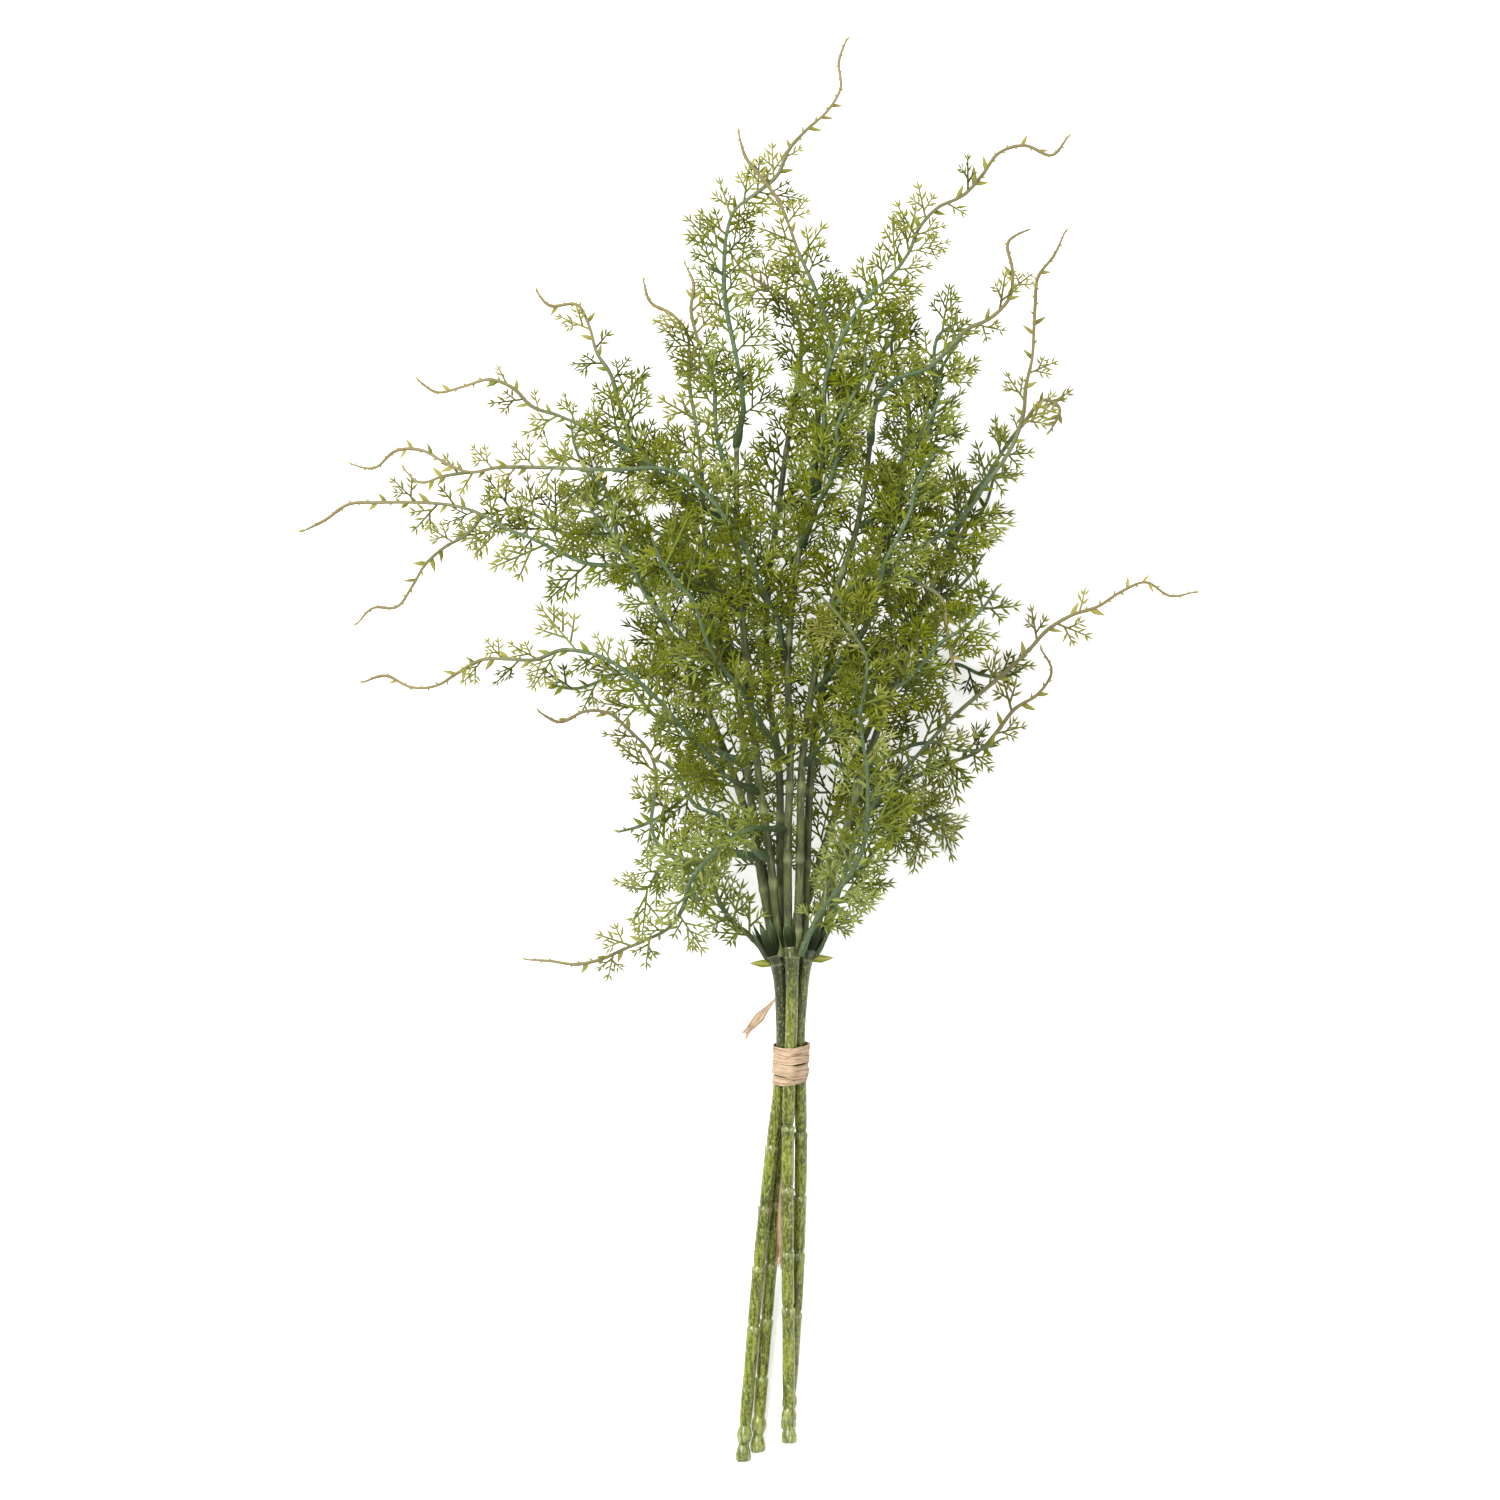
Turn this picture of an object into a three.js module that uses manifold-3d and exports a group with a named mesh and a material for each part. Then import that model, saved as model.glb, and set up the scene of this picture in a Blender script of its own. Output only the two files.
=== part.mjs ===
// A bunch of asparagus fern: four jointed stems tied with raffia, thin stalks that rise from the stems'
// collars, and feathery fronds plugged on the collars and on the stalks' nodes. It lies on its side.
// Millimetres. While it is built, x and y are measured from the middle of the tie, y runs from the cut
// ends to the tips, and z is the height above the surface that the bunch lies on.
import * as THREE from "three";
import { mergeVertices } from "three/addons/utils/BufferGeometryUtils.js";
import Module from "manifold-3d";

// Driving dimensions. The routes below are drawn at scale 1.
const BUTT_SCALE = 1; // of the stems' length below the tie
const HEAD_SCALE = 1; // of the stalks and fronds above the collars
const STEM_RADIUS = 2.7;
const JOINT_SHOULDER = 0.15; // how far a joint's shoulder stands out of its stem
const JOINT_WAIST = 0.25; // how far the stem draws in just above a joint
const JOINT_PITCH = 26;
const KNOB_RADIUS = 3.3; // the swollen joint at a cut end
const KNOB_LENGTH = 8;
const COLLAR_RADIUS = 3.4;
const COLLAR_LENGTH = 9;
const STALK_RADIUS = 1.6;
const STALK_TIP_RADIUS = 1.15;
const SHEATH_RADIUS = 1.6; // the thick end of a frond, which grips its peg
const SHEATH_LENGTH = 15;
const FOOT_RADIUS = 0.55; // the neck between a sheath and what carries it
const RACHIS_RADIUS = 0.85;
const RACHIS_TIP_RADIUS = 0.35;
const SPRIG_LENGTH = 24;
const SPRIG_WIDTH = 4.4;
const SPRIG_THICKNESS = 1.4;
const RINGS_PER_SPRIG = 2;
const LEAFY_SHARE = 0.65; // of a frond's length; the rest is a bare tip
const TIE_LENGTH = 16; // along the stems
const TIE_THICKNESS = 1;
const TAIL_WIDTH = 2.6;
const TAIL_THICKNESS = 0.5;
const CLEARANCE = 0.3; // between pieces that touch

const PEG_REACH = 8; // the first stretch of a frond, which may lie close to what carries it
const STEM_SIDES = 8;
const STALK_SIDES = 6;
const FROND_SIDES = 4;
const RING_STEP = 12; // between a tube's rings
const SAMPLE_STEP = 1; // between the balls that stand for a piece when its neighbours give way

const UP = new THREE.Vector3(0, 0, 1);
const wasm = await Module();
wasm.setup();

const plastic = (name, color, roughness) =>
  new THREE.MeshStandardMaterial({ name, color, roughness, metalness: 0 });
const STEM_GREEN = plastic("stem green", 0x6b7f35, 0.5);
const STALK_GREEN = plastic("stalk green", 0x59683c, 0.6);
const FROND_GREEN = plastic("frond green", 0x5f8a3c, 0.65);
const RAFFIA = plastic("raffia", 0xe3c08f, 0.8);

// Half the distance between two stems that lie side by side.
const STEM_GAP = STEM_RADIUS + JOINT_SHOULDER + CLEARANCE / 2;

const TIE_HEIGHT = 10.6; // of the tie's middle, in stem gaps

// Each stem runs from its cut end, through the tie at y 0, to the top of its collar. Its x and z are in
// stem gaps, and so are the tails'.
const STEMS = {
  stem_left: [
    [-6.87, -167.6, 2.2], [-6.03, -141.5, 2.4], [-4.9, -99.4, 3.87], [-3.5, -57.3, 6.5],
    [-1.9, -15.2, 9.6], [-1.2, 0.4, 10.4], [-1.2, 27, 11.8], [-1.83, 50, 13.33],
  ],
  stem_front: [
    [-0.13, -159.6, 3.5], [-0.27, -99.4, 5.1], [-0.37, -57.3, 7.73], [-0.27, -15.2, 11.15],
    [0, 0.4, 12.15], [0.2, 27, 13.55], [0.33, 53, 14.67],
  ],
  stem_right: [
    [-0.43, -154, 1.13], [0.83, -103.6, 2.67], [1.4, -57.3, 5.5], [1.5, -15.2, 9.25],
    [1.25, 0.4, 10.4], [1.35, 27, 11.7], [2.33, 52, 13],
  ],
  stem_back: [
    [-4.77, -163.8, 1.13], [-3.8, -124.6, 1.47], [-2.8, -86.7, 2.87], [-1.97, -53, 4.83],
    [-0.75, -15.2, 7.65], [0, 0.4, 8.6], [0.05, 27, 9.9], [-0.3, 50, 10.9],
  ],
};

// Each stalk stands on a collar, turned round its middle by so many degrees, and runs on through its nodes.
const STALKS = {
  stalk_left_1: ["stem_left", 45, [
    [-3, 40, 8], [-7, 68, 13], [-12, 112, 21], [-15, 145, 27], [-17, 179, 32], [-17, 198, 36], [-17, 211, 38],
  ]],
  stalk_left_2: ["stem_left", 225, [
    [-8, 40, 0], [-13, 80, 2], [-19, 124, 4], [-28, 162, 7], [-38, 187, 10],
  ]],
  stalk_front_1: ["stem_front", 180, [
    [-2, 49, 9], [-1, 77, 14], [-2, 121, 22], [3, 168, 32], [7, 189, 37], [9, 199, 40],
  ]],
  stalk_front_2: ["stem_front", 0, [
    [3, 37, 6], [4, 77, 13], [8, 107, 19], [16, 142, 26], [27, 176, 34], [32, 209, 42],
  ]],
  stalk_right_1: ["stem_right", 135, [
    [0, 38, 4], [2, 78, 9], [6, 105, 13], [17, 143, 19], [30, 168, 24], [39, 198, 28],
  ]],
  stalk_right_2: ["stem_right", 315, [
    [13, 38, 2], [25, 78, 6], [36, 108, 10], [49, 143, 14], [60, 169, 18], [68, 185, 21],
  ]],
  stalk_back_1: ["stem_back", 90, [
    [-3, 30, 1], [-4, 80, 1], [-8, 107, 1], [-9, 145, 0], [-4, 187, -2], [2, 229, -5],
  ]],
  stalk_back_2: ["stem_back", 210, [
    [-12, 40, -5], [-25, 80, -11], [-40, 115, -16], [-56, 145, -20],
  ]],
  stalk_back_3: ["stem_back", 330, [
    [14, 40, -5], [28, 80, -11], [44, 115, -16], [58, 145, -19],
  ]],
};

// Each frond: what carries it, the node that it is plugged on (-1 is the tip), and its route from there.
// A collar is a stem's last node. A fork leaves its frond at one of the route's points.
const FRONDS = {
  // The long ones that reach out of the bunch and end in a curl.
  frond_crown: ["stalk_left_1", -1, [
    [3, 19, 4], [-3, 49, 9], [-5, 80, 12], [-2, 96, 13], [6, 103, 13], [16, 111, 12], [23, 125, 11],
    [40, 142, 8], [44, 153, 6], [42, 164, 5], [46, 170, 5],
  ]],
  frond_crown_left: ["stalk_front_1", -1, [
    [3, 28, 6], [7, 51, 10], [0, 74, 13], [-6, 86, 14], [-10, 98, 14], [-17, 114, 12], [-26, 124, 10],
    [-31, 134, 9], [-32, 140, 10],
  ]],
  frond_crown_right: ["stalk_front_1", 5, [
    [5, 10, 5], [6, 26, 9], [6, 45, 13], [12, 61, 17], [24, 81, 22], [37, 92, 24], [43, 103, 25],
    [48, 114, 25], [60, 120, 24], [68, 126, 23], [77, 139, 20], [88, 143, 18], [102, 139, 17], [107, 147, 18],
  ]],
  frond_right_high: ["stalk_front_2", -1, [
    [2, 15, 4], [10, 26, 7], [21, 30, 9], [30, 36, 10], [36, 44, 11], [50, 52, 11], [58, 61, 10],
    [59, 70, 9], [57, 81, 8], [58, 86, 8], [66, 89, 9],
  ]],
  frond_right_tall: ["stalk_right_1", 4, [
    [16, 13, 5], [26, 23, 7], [41, 31, 8], [50, 39, 8], [59, 53, 8], [68, 66, 7], [73, 78, 6],
    [74, 90, 5], [77, 104, 4], [78, 122, 3], [80, 139, 2], [88, 149, 2], [91, 157, 3],
  ]],
  frond_right_reach: ["stem_right", -1, [
    [9, 9, 0], [18, 40, 2], [30, 65, 4], [49, 86, 6], [71, 108, 8], [89, 123, 9], [105, 139, 9],
    [123, 146, 8], [141, 156, 6], [153, 150, 5], [164, 152, 6],
  ]],
  frond_right_hook: ["stalk_right_2", 1, [
    [10, 13, -2], [20, 25, -4], [32, 34, -5], [45, 38, -6], [63, 47, -6], [72, 60, -6], [87, 71, -5],
    [90, 80, -4], [85, 88, -3],
  ]],
  frond_right_droop: ["stalk_front_2", 4, [
    [12, 11, 6], [27, 14, 10], [39, 8, 11], [47, 1, 10], [48, -11, 8], [50, -21, 6], [52, -31, 4],
  ]],
  frond_right_arch: ["stem_front", -1, [
    [9, 12, 6], [18, 25, 12], [28, 40, 18], [31, 53, 23], [31, 73, 31], [28, 100, 40], [31, 121, 45],
    [24, 134, 48], [9, 151, 50],
  ]],
  frond_right_low: ["stem_right", -1, [
    [6, 6, -5], [14, 27, -10], [24, 37, -12], [33, 47, -13], [47, 55, -13], [62, 59, -12],
  ]],
  frond_left_sweep: ["stalk_front_1", 1, [
    [-10, 0, 8], [-17, 0, 14], [-25, -5, 18], [-32, -12, 19], [-39, -19, 19], [-43, -28, 17],
    [-46, -38, 14], [-58, -46, 9], [-70, -51, 4], [-79, -55, 0], [-92, -57, -4], [-103, -55, -7],
    [-111, -55, -8],
  ]],
  frond_left_reach: ["stalk_left_1", 2, [
    [-13, 5, 10], [-22, 15, 18], [-31, 24, 24], [-39, 34, 29], [-48, 43, 33], [-60, 52, 36],
    [-71, 57, 37], [-80, 59, 37], [-95, 54, 35], [-113, 55, 31], [-121, 52, 29], [-129, 47, 27],
    [-140, 42, 24], [-153, 46, 21], [-159, 49, 20], [-166, 45, 19],
  ]],
  frond_left_loop: ["stem_left", -1, [
    [-9, 7, 0], [-22, 19, 1], [-28, 32, 1], [-36, 40, 1], [-46, 44, 0], [-52, 51, 0], [-53, 61, 0],
    [-51, 78, 2], [-54, 87, 3], [-65, 98, 4], [-75, 105, 4], [-85, 102, 3], [-93, 99, 3], [-101, 104, 4],
  ]],
  frond_left_long: ["stalk_left_1", 4, [
    [-10, 7, 3], [-33, 14, 8], [-47, 16, 10], [-65, 18, 11], [-75, 22, 11], [-86, 27, 10],
    [-96, 31, 9], [-105, 37, 8], [-113, 40, 6], [-122, 42, 4], [-133, 43, 1], [-157, 43, -6],
    [-166, 42, -8], [-172, 38, -9], [-178, 32, -10], [-184, 31, -10],
  ], [7, [
    [-115, 29, 8], [-124, 24, 7], [-131, 18, 5], [-136, 10, 3], [-140, 4, 1], [-146, -2, -1],
    [-155, -1, -3], [-159, -4, -4], [-161, -8, -5],
  ]]],
  frond_left_high: ["stalk_front_1", 3, [
    [-5, 18, 8], [-12, 29, 14], [-17, 43, 19], [-24, 55, 23], [-33, 66, 26], [-50, 77, 27],
    [-79, 77, 27], [-101, 78, 24], [-122, 78, 20], [-131, 76, 18], [-140, 79, 16], [-154, 86, 12],
    [-162, 86, 10], [-169, 81, 8], [-175, 77, 7], [-183, 80, 7],
  ], [9, [
    [-140, 75, 16], [-150, 74, 14], [-154, 72, 13], [-158, 74, 12], [-161, 79, 11],
  ]]],
  frond_left_upper: ["stalk_left_1", 5, [
    [-16, 8, 6], [-33, 21, 10], [-50, 34, 11], [-63, 40, 11], [-75, 45, 10], [-84, 48, 9],
    [-90, 53, 8], [-96, 59, 7], [-103, 60, 6], [-111, 58, 5], [-120, 55, 4], [-127, 55, 3],
    [-132, 57, 3], [-133, 60, 4],
  ]],
  frond_left_rise: ["stalk_left_2", -1, [
    [-8, 9, 5], [-16, 19, 9], [-23, 30, 12], [-28, 37, 13], [-29, 47, 14], [-32, 56, 14],
    [-37, 63, 13], [-40, 72, 12], [-42, 81, 11], [-46, 84, 10], [-55, 84, 9], [-60, 83, 8],
    [-63, 87, 8], [-63, 90, 9],
  ]],
  frond_left_climb: ["stalk_left_2", 3, [
    [-8, 14, 8], [-10, 30, 18], [-12, 63, 30], [-13, 81, 34], [-15, 98, 36], [-18, 115, 37],
    [-18, 132, 36], [-22, 140, 35], [-31, 145, 33], [-37, 151, 31], [-37, 157, 31],
  ]],
  frond_top_left: ["stalk_left_1", 6, [
    [-6, 8, 3], [-9, 28, 6], [-10, 42, 7], [-15, 54, 8], [-19, 70, 9], [-18, 82, 9], [-22, 90, 8],
  ]],
  frond_top_back: ["stalk_back_1", -1, [
    [4, 22, 10], [2, 36, 14], [-3, 45, 16], [-14, 52, 17], [-23, 59, 17], [-27, 66, 18],
  ]],
  frond_right_inner: ["stalk_front_2", 5, [
    [12, 8, 4], [18, 27, 8], [28, 40, 10], [34, 54, 11], [31, 72, 11], [37, 82, 10], [43, 84, 10],
  ]],
  frond_right_tip: ["stalk_right_2", -1, [
    [4, 8, -2], [9, 14, -4], [16, 26, -6], [24, 37, -7], [34, 46, -8], [38, 42, -9], [33, 30, -10],
  ]],
  // The ones that fill the middle, towards the front.
  frond_fill_left: ["stalk_left_1", 3, [
    [-14, 8, 10], [-30, 22, 18], [-44, 40, 22], [-52, 58, 22], [-64, 70, 20], [-70, 84, 18],
  ]],
  frond_fill_front: ["stalk_front_1", 2, [
    [-8, 10, 12], [-20, 28, 24], [-34, 48, 32], [-40, 66, 36], [-52, 80, 37], [-58, 94, 36],
  ]],
  frond_fill_right: ["stalk_front_2", 3, [
    [12, 12, 12], [24, 30, 20], [30, 52, 26], [40, 72, 28], [46, 92, 28], [58, 104, 26],
  ]],
  frond_fill_top: ["stalk_front_1", 4, [
    [6, 12, 10], [14, 30, 17], [16, 50, 21], [26, 68, 22], [28, 88, 20], [38, 100, 18],
  ]],
  frond_fill_side: ["stalk_front_2", 2, [
    [10, 10, 8], [26, 24, 14], [44, 34, 18], [58, 50, 20], [70, 58, 19], [82, 74, 17],
  ]],
  frond_fill_high: ["stalk_right_1", 5, [
    [8, 12, 5], [12, 32, 9], [22, 50, 11], [24, 70, 11], [34, 86, 9],
  ]],
  frond_fill_tip: ["stalk_right_1", -1, [[4, 14, 3], [2, 34, 6], [-4, 50, 8], [-2, 64, 8]]],
  frond_fill_middle: ["stalk_right_1", 3, [
    [12, 8, 2], [28, 20, 2], [42, 36, 2], [58, 46, 1], [68, 60, 0],
  ]],
  frond_low_right: ["stalk_right_2", 2, [[12, 4, -4], [28, 8, -9], [44, 4, -14], [58, 10, -18]]],
  frond_low_front: ["stalk_right_1", 2, [
    [10, 0, -4], [22, -10, -10], [36, -16, -15], [46, -28, -19], [60, -32, -21],
  ]],
  frond_low_left: ["stalk_left_2", 2, [
    [-12, 4, -2], [-26, 14, -4], [-40, 20, -6], [-50, 34, -8], [-60, 40, -10],
  ]],
  frond_low_side: ["stalk_left_2", 1, [
    [-12, 2, -3], [-26, -4, -8], [-38, -2, -13], [-48, -14, -18], [-58, -12, -21],
  ]],
  frond_mid_left: ["stalk_left_2", 4, [
    [-14, 6, 2], [-30, 6, 3], [-48, 14, 3], [-62, 14, 2], [-78, 24, 0], [-92, 22, -3],
  ]],
  frond_near_left: ["stalk_left_1", 1, [
    [-10, 6, 8], [-22, 18, 13], [-32, 22, 15], [-40, 36, 15], [-50, 42, 13],
  ]],
  // The ones underneath, which spread on the surface and bear the bunch.
  frond_under_left: ["stalk_back_1", 4, [
    [-14, 10, -12], [-32, 24, -24], [-50, 34, -31], [-70, 44, -33], [-88, 52, -33],
  ]],
  frond_under_top: ["stalk_back_1", 5, [
    [10, 12, -10], [24, 28, -20], [36, 46, -28], [44, 66, -31], [58, 80, -31],
  ]],
  frond_under_tip_left: ["stalk_back_2", -1, [
    [-6, 12, -2], [-16, 28, -8], [-20, 48, -12], [-32, 62, -13], [-36, 80, -13],
  ]],
  frond_under_side_left: ["stalk_back_2", 3, [[-12, 2, -6], [-30, 4, -14], [-46, -4, -16], [-62, -2, -16]]],
  frond_under_tip_right: ["stalk_back_3", -1, [[8, 12, -4], [14, 30, -10], [26, 44, -13], [30, 62, -13]]],
  frond_under_side_right: ["stalk_back_3", 3, [[12, 2, -6], [28, 6, -14], [44, 0, -16], [58, 6, -16]]],
  frond_under_low_left: ["stalk_back_2", 2, [
    [-10, -6, -8], [-22, -18, -17], [-34, -26, -21], [-48, -30, -21],
  ]],
  frond_under_low_right: ["stalk_back_3", 2, [[10, -6, -8], [22, -18, -17], [34, -24, -21], [46, -32, -21]]],
};

// The tie's free ends: one folds back out of the tie, the other hangs on between the stems.
const TAILS = {
  tie_tail_short: [[-1.3, 9, 7.8], [-1.6, 20, 8.4], [-2.5, 27, 9.2], [-3.8, 22, 10.2], [-6.67, 11, 11]],
  tie_tail_long: [[-0.12, -9.6, 9.78], [-0.43, -20, 8.93], [-1.1, -53, 6.3], [-1.53, -84, 4.53]],
};

const vector = (point) => new THREE.Vector3(...point);
const headVector = (point) => vector(point).multiplyScalar(HEAD_SCALE);
const buttVector = ([x, y, z]) =>
  new THREE.Vector3(x * STEM_GAP, y < 0 ? y * BUTT_SCALE : y, z * STEM_GAP);
const routeThrough = (points) => new THREE.CatmullRomCurve3(points, false, "centripetal");

// The point of a route at a distance along it, with the directions along, beside and above it.
function frameAt(route, distance) {
  const share = THREE.MathUtils.clamp(distance / route.getLength(), 0, 1);
  const along = route.getTangentAt(share);
  const beside = new THREE.Vector3().crossVectors(along, UP).normalize();
  const above = new THREE.Vector3().crossVectors(beside, along);
  return { point: route.getPointAt(share), along, beside, above };
}

// A lathed profile of [distance, radius] pairs, bent along a route and flattened from above.
function bentLathe(route, profile, sides, flatness = 1) {
  const end = profile.at(-1)[1] ? [[profile.at(-1)[0], 0]] : [];
  const outline = [[profile[0][0], 0], ...profile, ...end];
  const corners = outline.map(([distance, radius]) => new THREE.Vector2(radius, distance));
  const turned = new THREE.LatheGeometry(corners, sides);
  const places = turned.getAttribute("position");
  for (let i = 0; i < places.count; i++) {
    const { point, beside, above } = frameAt(route, places.getY(i));
    point.addScaledVector(beside, places.getX(i)).addScaledVector(above, places.getZ(i) * flatness);
    places.setXYZ(i, point.x, point.y, point.z);
  }
  return turned;
}

// A geometry as a solid: its shared vertices merged, and the faces that collapsed at the ends left out.
function solidOf(geometry) {
  geometry.deleteAttribute("normal");
  geometry.deleteAttribute("uv");
  const merged = mergeVertices(geometry, 1e-4);
  const corners = Array.from(merged.index.array);
  const faces = [];
  for (let i = 0; i < corners.length; i += 3) {
    const [a, b, c] = corners.slice(i, i + 3);
    if (a !== b && b !== c && a !== c) faces.push(a, b, c);
  }
  return new wasm.Manifold(
    new wasm.Mesh({
      numProp: 3,
      vertProperties: merged.getAttribute("position").array,
      triVerts: new Uint32Array(faces),
    }),
  );
}

function geometryOf(solid) {
  const mesh = solid.getMesh();
  return new THREE.BufferGeometry()
    .setAttribute("position", new THREE.BufferAttribute(new Float32Array(mesh.vertProperties), 3))
    .setIndex(new THREE.BufferAttribute(mesh.triVerts, 1));
}

function namedMesh(name, geometry, material) {
  const mesh = new THREE.Mesh(geometry, material);
  mesh.name = name;
  return mesh;
}

// Straight steps between the [distance, radius] pairs of a profile.
function radiusAt(profile, distance) {
  const next = profile.findIndex(([place]) => place >= distance);
  if (next <= 0) return profile.at(next)[1];
  const [[from, first], [to, last]] = [profile[next - 1], profile[next]];
  return THREE.MathUtils.mapLinear(distance, from, to, first, last);
}

// The places that are taken, as balls in a grid, each with the piece that owns it.
class Thicket {
  static CELL = 8;
  cells = new Map();

  static key(x, y, z) {
    return [x, y, z].map((value) => Math.floor(value / Thicket.CELL)).join();
  }

  add(owner, balls) {
    for (const ball of balls) {
      const key = Thicket.key(...ball.point);
      if (!this.cells.has(key)) this.cells.set(key, []);
      this.cells.get(key).push({ ...ball, owner });
    }
  }

  near({ x, y, z }) {
    const found = [];
    const steps = [-Thicket.CELL, 0, Thicket.CELL];
    for (const i of steps)
      for (const j of steps)
        for (const k of steps) found.push(...(this.cells.get(Thicket.key(x + i, y + j, z + k)) ?? []));
    return found;
  }

  // True if the balls clear the surface and every piece but the spared owner, which only a root may touch.
  isClear(balls, spared) {
    return balls.every(
      ({ point, radius, isRoot }) =>
        point.z > radius - CLEARANCE / 2 &&
        this.near(point).every(
          (ball) =>
            (isRoot && ball.owner === spared) ||
            ball.point.distanceTo(point) > ball.radius + radius + CLEARANCE,
        ),
    );
  }
}

// The balls of a piece, strung on the straight lines between its rings, the first stretch marked as its root.
function ballsAlong(route, profile, rootLength) {
  return profile.slice(1).flatMap(([to, toRadius], i) => {
    const [from, fromRadius] = profile[i];
    const [start, end] = [frameAt(route, from).point, frameAt(route, to).point];
    return steps(0, 1, SAMPLE_STEP / Math.max(to - from, SAMPLE_STEP)).map((share) => ({
      point: start.clone().lerp(end, share),
      radius: THREE.MathUtils.lerp(fromRadius, toRadius, share),
      isRoot: THREE.MathUtils.lerp(from, to, share) < rootLength,
    }));
  });
}

// Evenly spaced distances from one place to another, no further apart than the step.
function steps(from, to, step) {
  const count = Math.max(1, Math.ceil((to - from) / step));
  return Array.from({ length: count + 1 }, (_, i) => from + ((to - from) * i) / count);
}

// A stem's profile: two swollen joints at the cut end, plain joints up to the collar, and the collar.
function stemProfile(length) {
  const knobs = [
    [0, KNOB_RADIUS],
    [KNOB_LENGTH * 0.7, KNOB_RADIUS * 0.97],
    [KNOB_LENGTH, STEM_RADIUS],
    [KNOB_LENGTH * 1.2, KNOB_RADIUS * 0.97],
    [KNOB_LENGTH * 1.9, STEM_RADIUS],
  ];
  const collarStart = length - COLLAR_LENGTH;
  const firstJoint = KNOB_LENGTH * 1.9 + JOINT_PITCH;
  const count = Math.max(1, Math.round((collarStart - firstJoint) / JOINT_PITCH));
  const pitch = (collarStart - firstJoint) / count;
  const joints = Array.from({ length: count }, (_, i) => firstJoint + pitch * i).flatMap((place) => [
    [place - 2.5, STEM_RADIUS + JOINT_SHOULDER],
    [place, STEM_RADIUS - JOINT_WAIST],
  ]);
  return [...knobs, ...joints, [collarStart, STEM_RADIUS], [length, COLLAR_RADIUS]];
}

function stalkProfile(length) {
  return steps(0, length, RING_STEP * 1.5).map((distance) => [
    distance,
    THREE.MathUtils.lerp(STALK_RADIUS, STALK_TIP_RADIUS, distance / length),
  ]);
}

// A frond's profile: a narrow foot, the sheath over its peg, and the rachis out to a thin tip.
function frondProfile(length) {
  const rachisStart = SHEATH_LENGTH * 1.3;
  const rachis = steps(rachisStart, length, RING_STEP).map((distance) => [
    distance,
    THREE.MathUtils.mapLinear(distance, rachisStart, length, RACHIS_RADIUS, RACHIS_TIP_RADIUS),
  ]);
  return [
    [0, FOOT_RADIUS],
    [SHEATH_LENGTH * 0.4, SHEATH_RADIUS],
    [SHEATH_LENGTH, SHEATH_RADIUS * 0.9],
    ...rachis,
  ];
}

function forkProfile(length) {
  return steps(0, length, RING_STEP).map((distance) => [
    distance,
    THREE.MathUtils.lerp(RACHIS_RADIUS * 0.7, RACHIS_TIP_RADIUS, distance / length),
  ]);
}

// A spine is a route with its profile and the nodes that others are seated on.
const spines = new Map();
const thicket = new Thicket();

function addSpine(name, route, profile, nodes, rootOwner) {
  spines.set(name, { route, profile, nodes, rootOwner });
  thicket.add(name, ballsAlong(route, profile, 0));
}

for (const [name, points] of Object.entries(STEMS)) {
  const nodes = points.map(buttVector);
  const route = routeThrough(nodes);
  addSpine(name, route, stemProfile(route.getLength()), nodes);
}

// Stalks that share a collar stand round its middle, just clear of each other.
for (const [name, [stem, degrees, nodePoints]] of Object.entries(STALKS)) {
  const stemRoute = spines.get(stem).route;
  const { point, along, beside, above } = frameAt(stemRoute, stemRoute.getLength());
  const sharing = Object.values(STALKS).filter(([other]) => other === stem).length;
  const reach = (STALK_RADIUS + CLEARANCE) / Math.sin(Math.PI / sharing);
  const angle = THREE.MathUtils.degToRad(degrees);
  const foot = point.clone().addScaledVector(along, CLEARANCE + STALK_RADIUS / 2);
  foot.addScaledVector(beside, reach * Math.cos(angle)).addScaledVector(above, reach * Math.sin(angle));
  const nodes = [foot, ...nodePoints.map((offset) => headVector(offset).add(point))];
  const route = routeThrough(nodes);
  addSpine(name, route, stalkProfile(route.getLength()), nodes);
}

// Where a frond's foot stands: beyond its carrier's tip, or beside a node, on the side that it heads for.
function seatOn(carrier, node, heading) {
  const { route, profile, nodes } = spines.get(carrier);
  const isCollar = carrier in STEMS;
  const centre = nodes.at(node).clone();
  const share = nearestShare(route, centre);
  const along = route.getTangentAt(share);
  const out = heading.clone().projectOnPlane(along).normalize();
  if (node === -1 && !isCollar) {
    return { centre, foot: centre.clone().addScaledVector(along, CLEARANCE + FOOT_RADIUS) };
  }
  if (isCollar) centre.addScaledVector(along, -COLLAR_LENGTH * 0.3);
  const radius = radiusAt(profile, route.getLength() * share);
  return { centre, foot: centre.clone().addScaledVector(out, radius + CLEARANCE + FOOT_RADIUS) };
}

function nearestShare(route, point) {
  const shares = steps(0, 1, 0.005);
  const gaps = shares.map((share) => route.getPointAt(share).distanceTo(point));
  return shares[gaps.indexOf(Math.min(...gaps))];
}

// The route of a frond that is lifted by some height once it is off its peg. It never dips into the surface.
function frondRoute(centre, foot, offsets, lift) {
  const points = offsets.map((offset, i) => {
    const point = headVector(offset).add(centre);
    point.z = Math.max(point.z + lift * Math.min(1, (i + 1) / 3), RACHIS_RADIUS);
    return point;
  });
  return [foot, ...points];
}

// The middle of the frond's ring that is nearest to a point, where a fork meets the rachis squarely.
function nearestRing(route, point) {
  const rings = frondProfile(route.getLength()).map(([distance]) => frameAt(route, distance).point);
  const gaps = rings.map((ring) => ring.distanceTo(point));
  return rings[gaps.indexOf(Math.min(...gaps))];
}

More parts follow.
